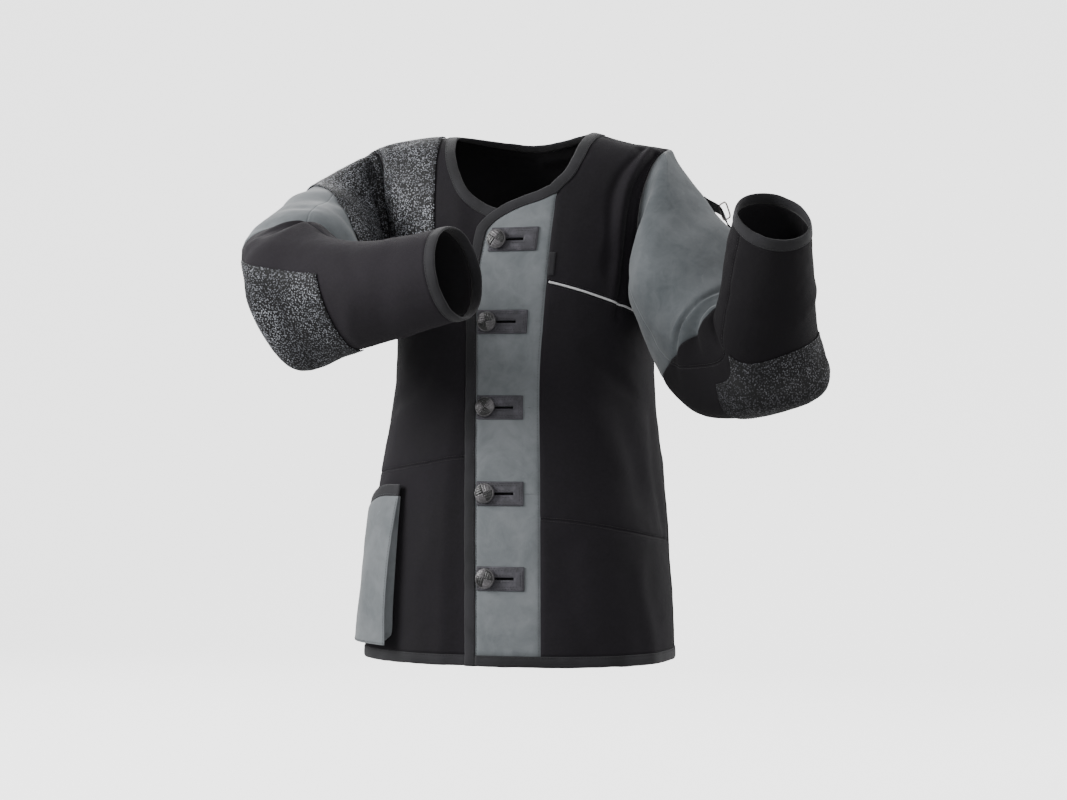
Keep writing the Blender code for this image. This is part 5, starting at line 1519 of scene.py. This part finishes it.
strapLook = {
    "turn": 27,
    "half": 7,
    "start": 0.070,
    "end": 0.118,
    "rise": 0.008,
    "thickness": 0.0016,
    "rows": 48,
    "columns": 11,
}
buckleLook = {
    "radius": 0.0011,
    "width": 0.030,
    "depth": 0.011,
    "squareness": 0.4,
    "gap": 0.0003,
    "points": 64,
    "sides": 12,
}


def strapAndBuckle():
    look, count = strapLook, strapLook["rows"]
    shares = np.linspace(0, 1, count + 1)
    stations = look["start"] + (look["end"] - look["start"]) * shares
    turns = look["turn"] + look["half"] * np.linspace(-1, 1, look["columns"])
    places = np.stack(np.broadcast_arrays(turns, stations[:, None]), axis=-1)
    points, outward = sleeveForm(leftArm, places)
    rise = 3 * cloth["proud"] + look["thickness"] + look["rise"] * np.sin(np.pi * shares) ** 2
    lifted = points + outward * rise[:, None, None]
    facing = unit(np.cross(np.gradient(lifted, axis=0), (points[:, -1] - points[:, 0])[:, None]))
    facing *= np.sign(np.sum(facing * outward, axis=-1, keepdims=True))
    piece = shell("armStrapWebbing", lifted, facing, look["thickness"], (finish["webbing"],))
    declareSheet(dress(piece, "strap_left"), lifted)
    middle, look = count // 2, buckleLook
    wide = unit(points[middle, -1] - points[middle, 0]) * look["width"] / 2
    deep = unit(facing[middle].mean(axis=0))
    under = strapLook["thickness"] + look["gap"] + look["radius"]
    centre = lifted[middle].mean(axis=0) + deep * (look["depth"] / 2 - under)
    turn = np.linspace(0, 2 * math.pi, look["points"], endpoint=False)
    sideways, outwards = (
        np.sign(wave) * np.abs(wave) ** look["squareness"] for wave in (np.cos(turn), np.sin(turn))
    )
    line = centre + wide * sideways[:, None] + deep * look["depth"] / 2 * outwards[:, None]
    ring = tube("wireBuckle", line, look["radius"], look["sides"], finish["wire"], closed=True)
    dress(ring, "buckle_left")


strip = placket()
leftSide = leftFront()
rightSide = rightFront()
behind = backPanel()
print("body panels made")
bindings(strip, leftSide, rightSide, behind)
pipingAndLabel(leftSide["piping"])
for number, row in enumerate(reversed(placketLook["tabs"]), start=1):
    tabLeather(number, row)
    braidedButton(number, row, buttonLook["turns"][number - 1])
pocket()
print("closure, edges and pocket made")
makeSleeve("right", rightArm, 30, finish["suede"], finish["charcoal"])
# the left sleeve takes darker copies of the suede and the charcoal canvas: painted shade
makeSleeve("left", leftArm, 0, finish["shadedSuede"], finish["shadedCharcoal"])
sleevePatch("rightHeadPatch", "patch_head_right", rightArm, -45, 135, 0, 4, finish["grip"])
sleevePatch("rightElbowPatch", "patch_elbow_right", rightArm, 195, 315, 10, 15, finish["grip"])
# the left elbow patch takes a darker copy of the grip cloth: painted shade
sleevePatch("leftElbowPatch", "patch_elbow_left", leftArm, 195, 330, 10, 15, finish["shadedGrip"])
strapAndBuckle()
print("sleeves made")

# Room, lights and camera

room = {
    "floor": -1.02,
    "top": 5.0,
    "back": 2.6,
    "half": 6.0,
    "radius": 0.9,
    "colour": (236, 236, 236),
    "shadow": (218, 218, 218),
    "world": 0.5,
    "glow": 2.5,
}
lights = {
    # place, aim, size, power
    "key": ((-2.8, -1.95, 1.1), (0.0, -0.1, -0.3), 2.2, 160),
    "fill": ((1.6, -3.0, 0.5), (0.0, -0.1, -0.35), 2.0, 18),
    "rim": ((1.9, 1.4, 1.0), (0.1, 0.0, -0.3), 1.4, 45),
    "back": ((-1.4, 1.9, 1.2), (0.0, 0.0, -0.3), 1.8, 40),
}
lens = {"place": (0.8408, -3.0876, -0.36), "way": (-0.2588, 0.9659, 0.0), "millimetres": 79.0}


def backdrop():  # a pale floor that curves up into a wall
    floor, back, radius, half = (room[key] for key in ("floor", "back", "radius", "half"))
    profile = [(-half, floor)]
    for turn in np.linspace(0, math.pi / 2, 13):
        profile.append((back + radius * math.sin(turn), floor + radius * (1 - math.cos(turn))))
    profile.append((back + radius, room["top"]))
    points = np.array([(x, y, z) for y, z in profile for x in (-half, half)])
    faces = [(2 * k, 2 * k + 1, 2 * k + 3, 2 * k + 2) for k in range(len(profile) - 1)]
    pale = shade(*room["colour"])
    fixed = {"Specular IOR Level": 0.0, "Emission Color": pale, "Emission Strength": room["glow"]}
    paint = Paint("palePaper", fixed)
    tone = paint.mix(paint.noise(0.6, 2) * 0.06, pale, shade(*room["shadow"]))
    paper = paint.feed(tone, paint.noise(2.0, 2) * 0.1 + 0.85)
    piece = addMesh("backdrop", points, faces, points[:, :2], [paper])
    piece.visible_diffuse = piece.visible_glossy = False  # so that its glow stays off the cloth


def lightUp():
    for name, (place, aim, size, power) in lights.items():
        lamp = bpy.data.lights.new(name, "AREA")
        lamp.shape, lamp.size, lamp.energy = "DISK", size, power
        hang(name, lamp, place, Vector(aim) - Vector(place))
    world = bpy.data.worlds.new("studio")
    world.use_nodes = True
    sky = world.node_tree.nodes["Background"]
    sky.inputs["Color"].default_value = (1, 1, 1, 1)
    sky.inputs["Strength"].default_value = room["world"]
    bpy.context.scene.world = world


def hang(name, data, place, way):  # a lamp or camera that looks the given way
    holder = bpy.data.objects.new(name, data)
    holder.location = place
    holder.rotation_euler = way.to_track_quat("-Z", "Y").to_euler()
    bpy.context.scene.collection.objects.link(holder)
    return holder


backdrop()
lightUp()
camera = hang("camera", bpy.data.cameras.new("camera"), lens["place"], Vector(lens["way"]))
camera.data.sensor_width, camera.data.lens, camera.data.clip_end = 36.0, lens["millimetres"], 60.0
bpy.context.scene.camera = camera
print("room and camera made")
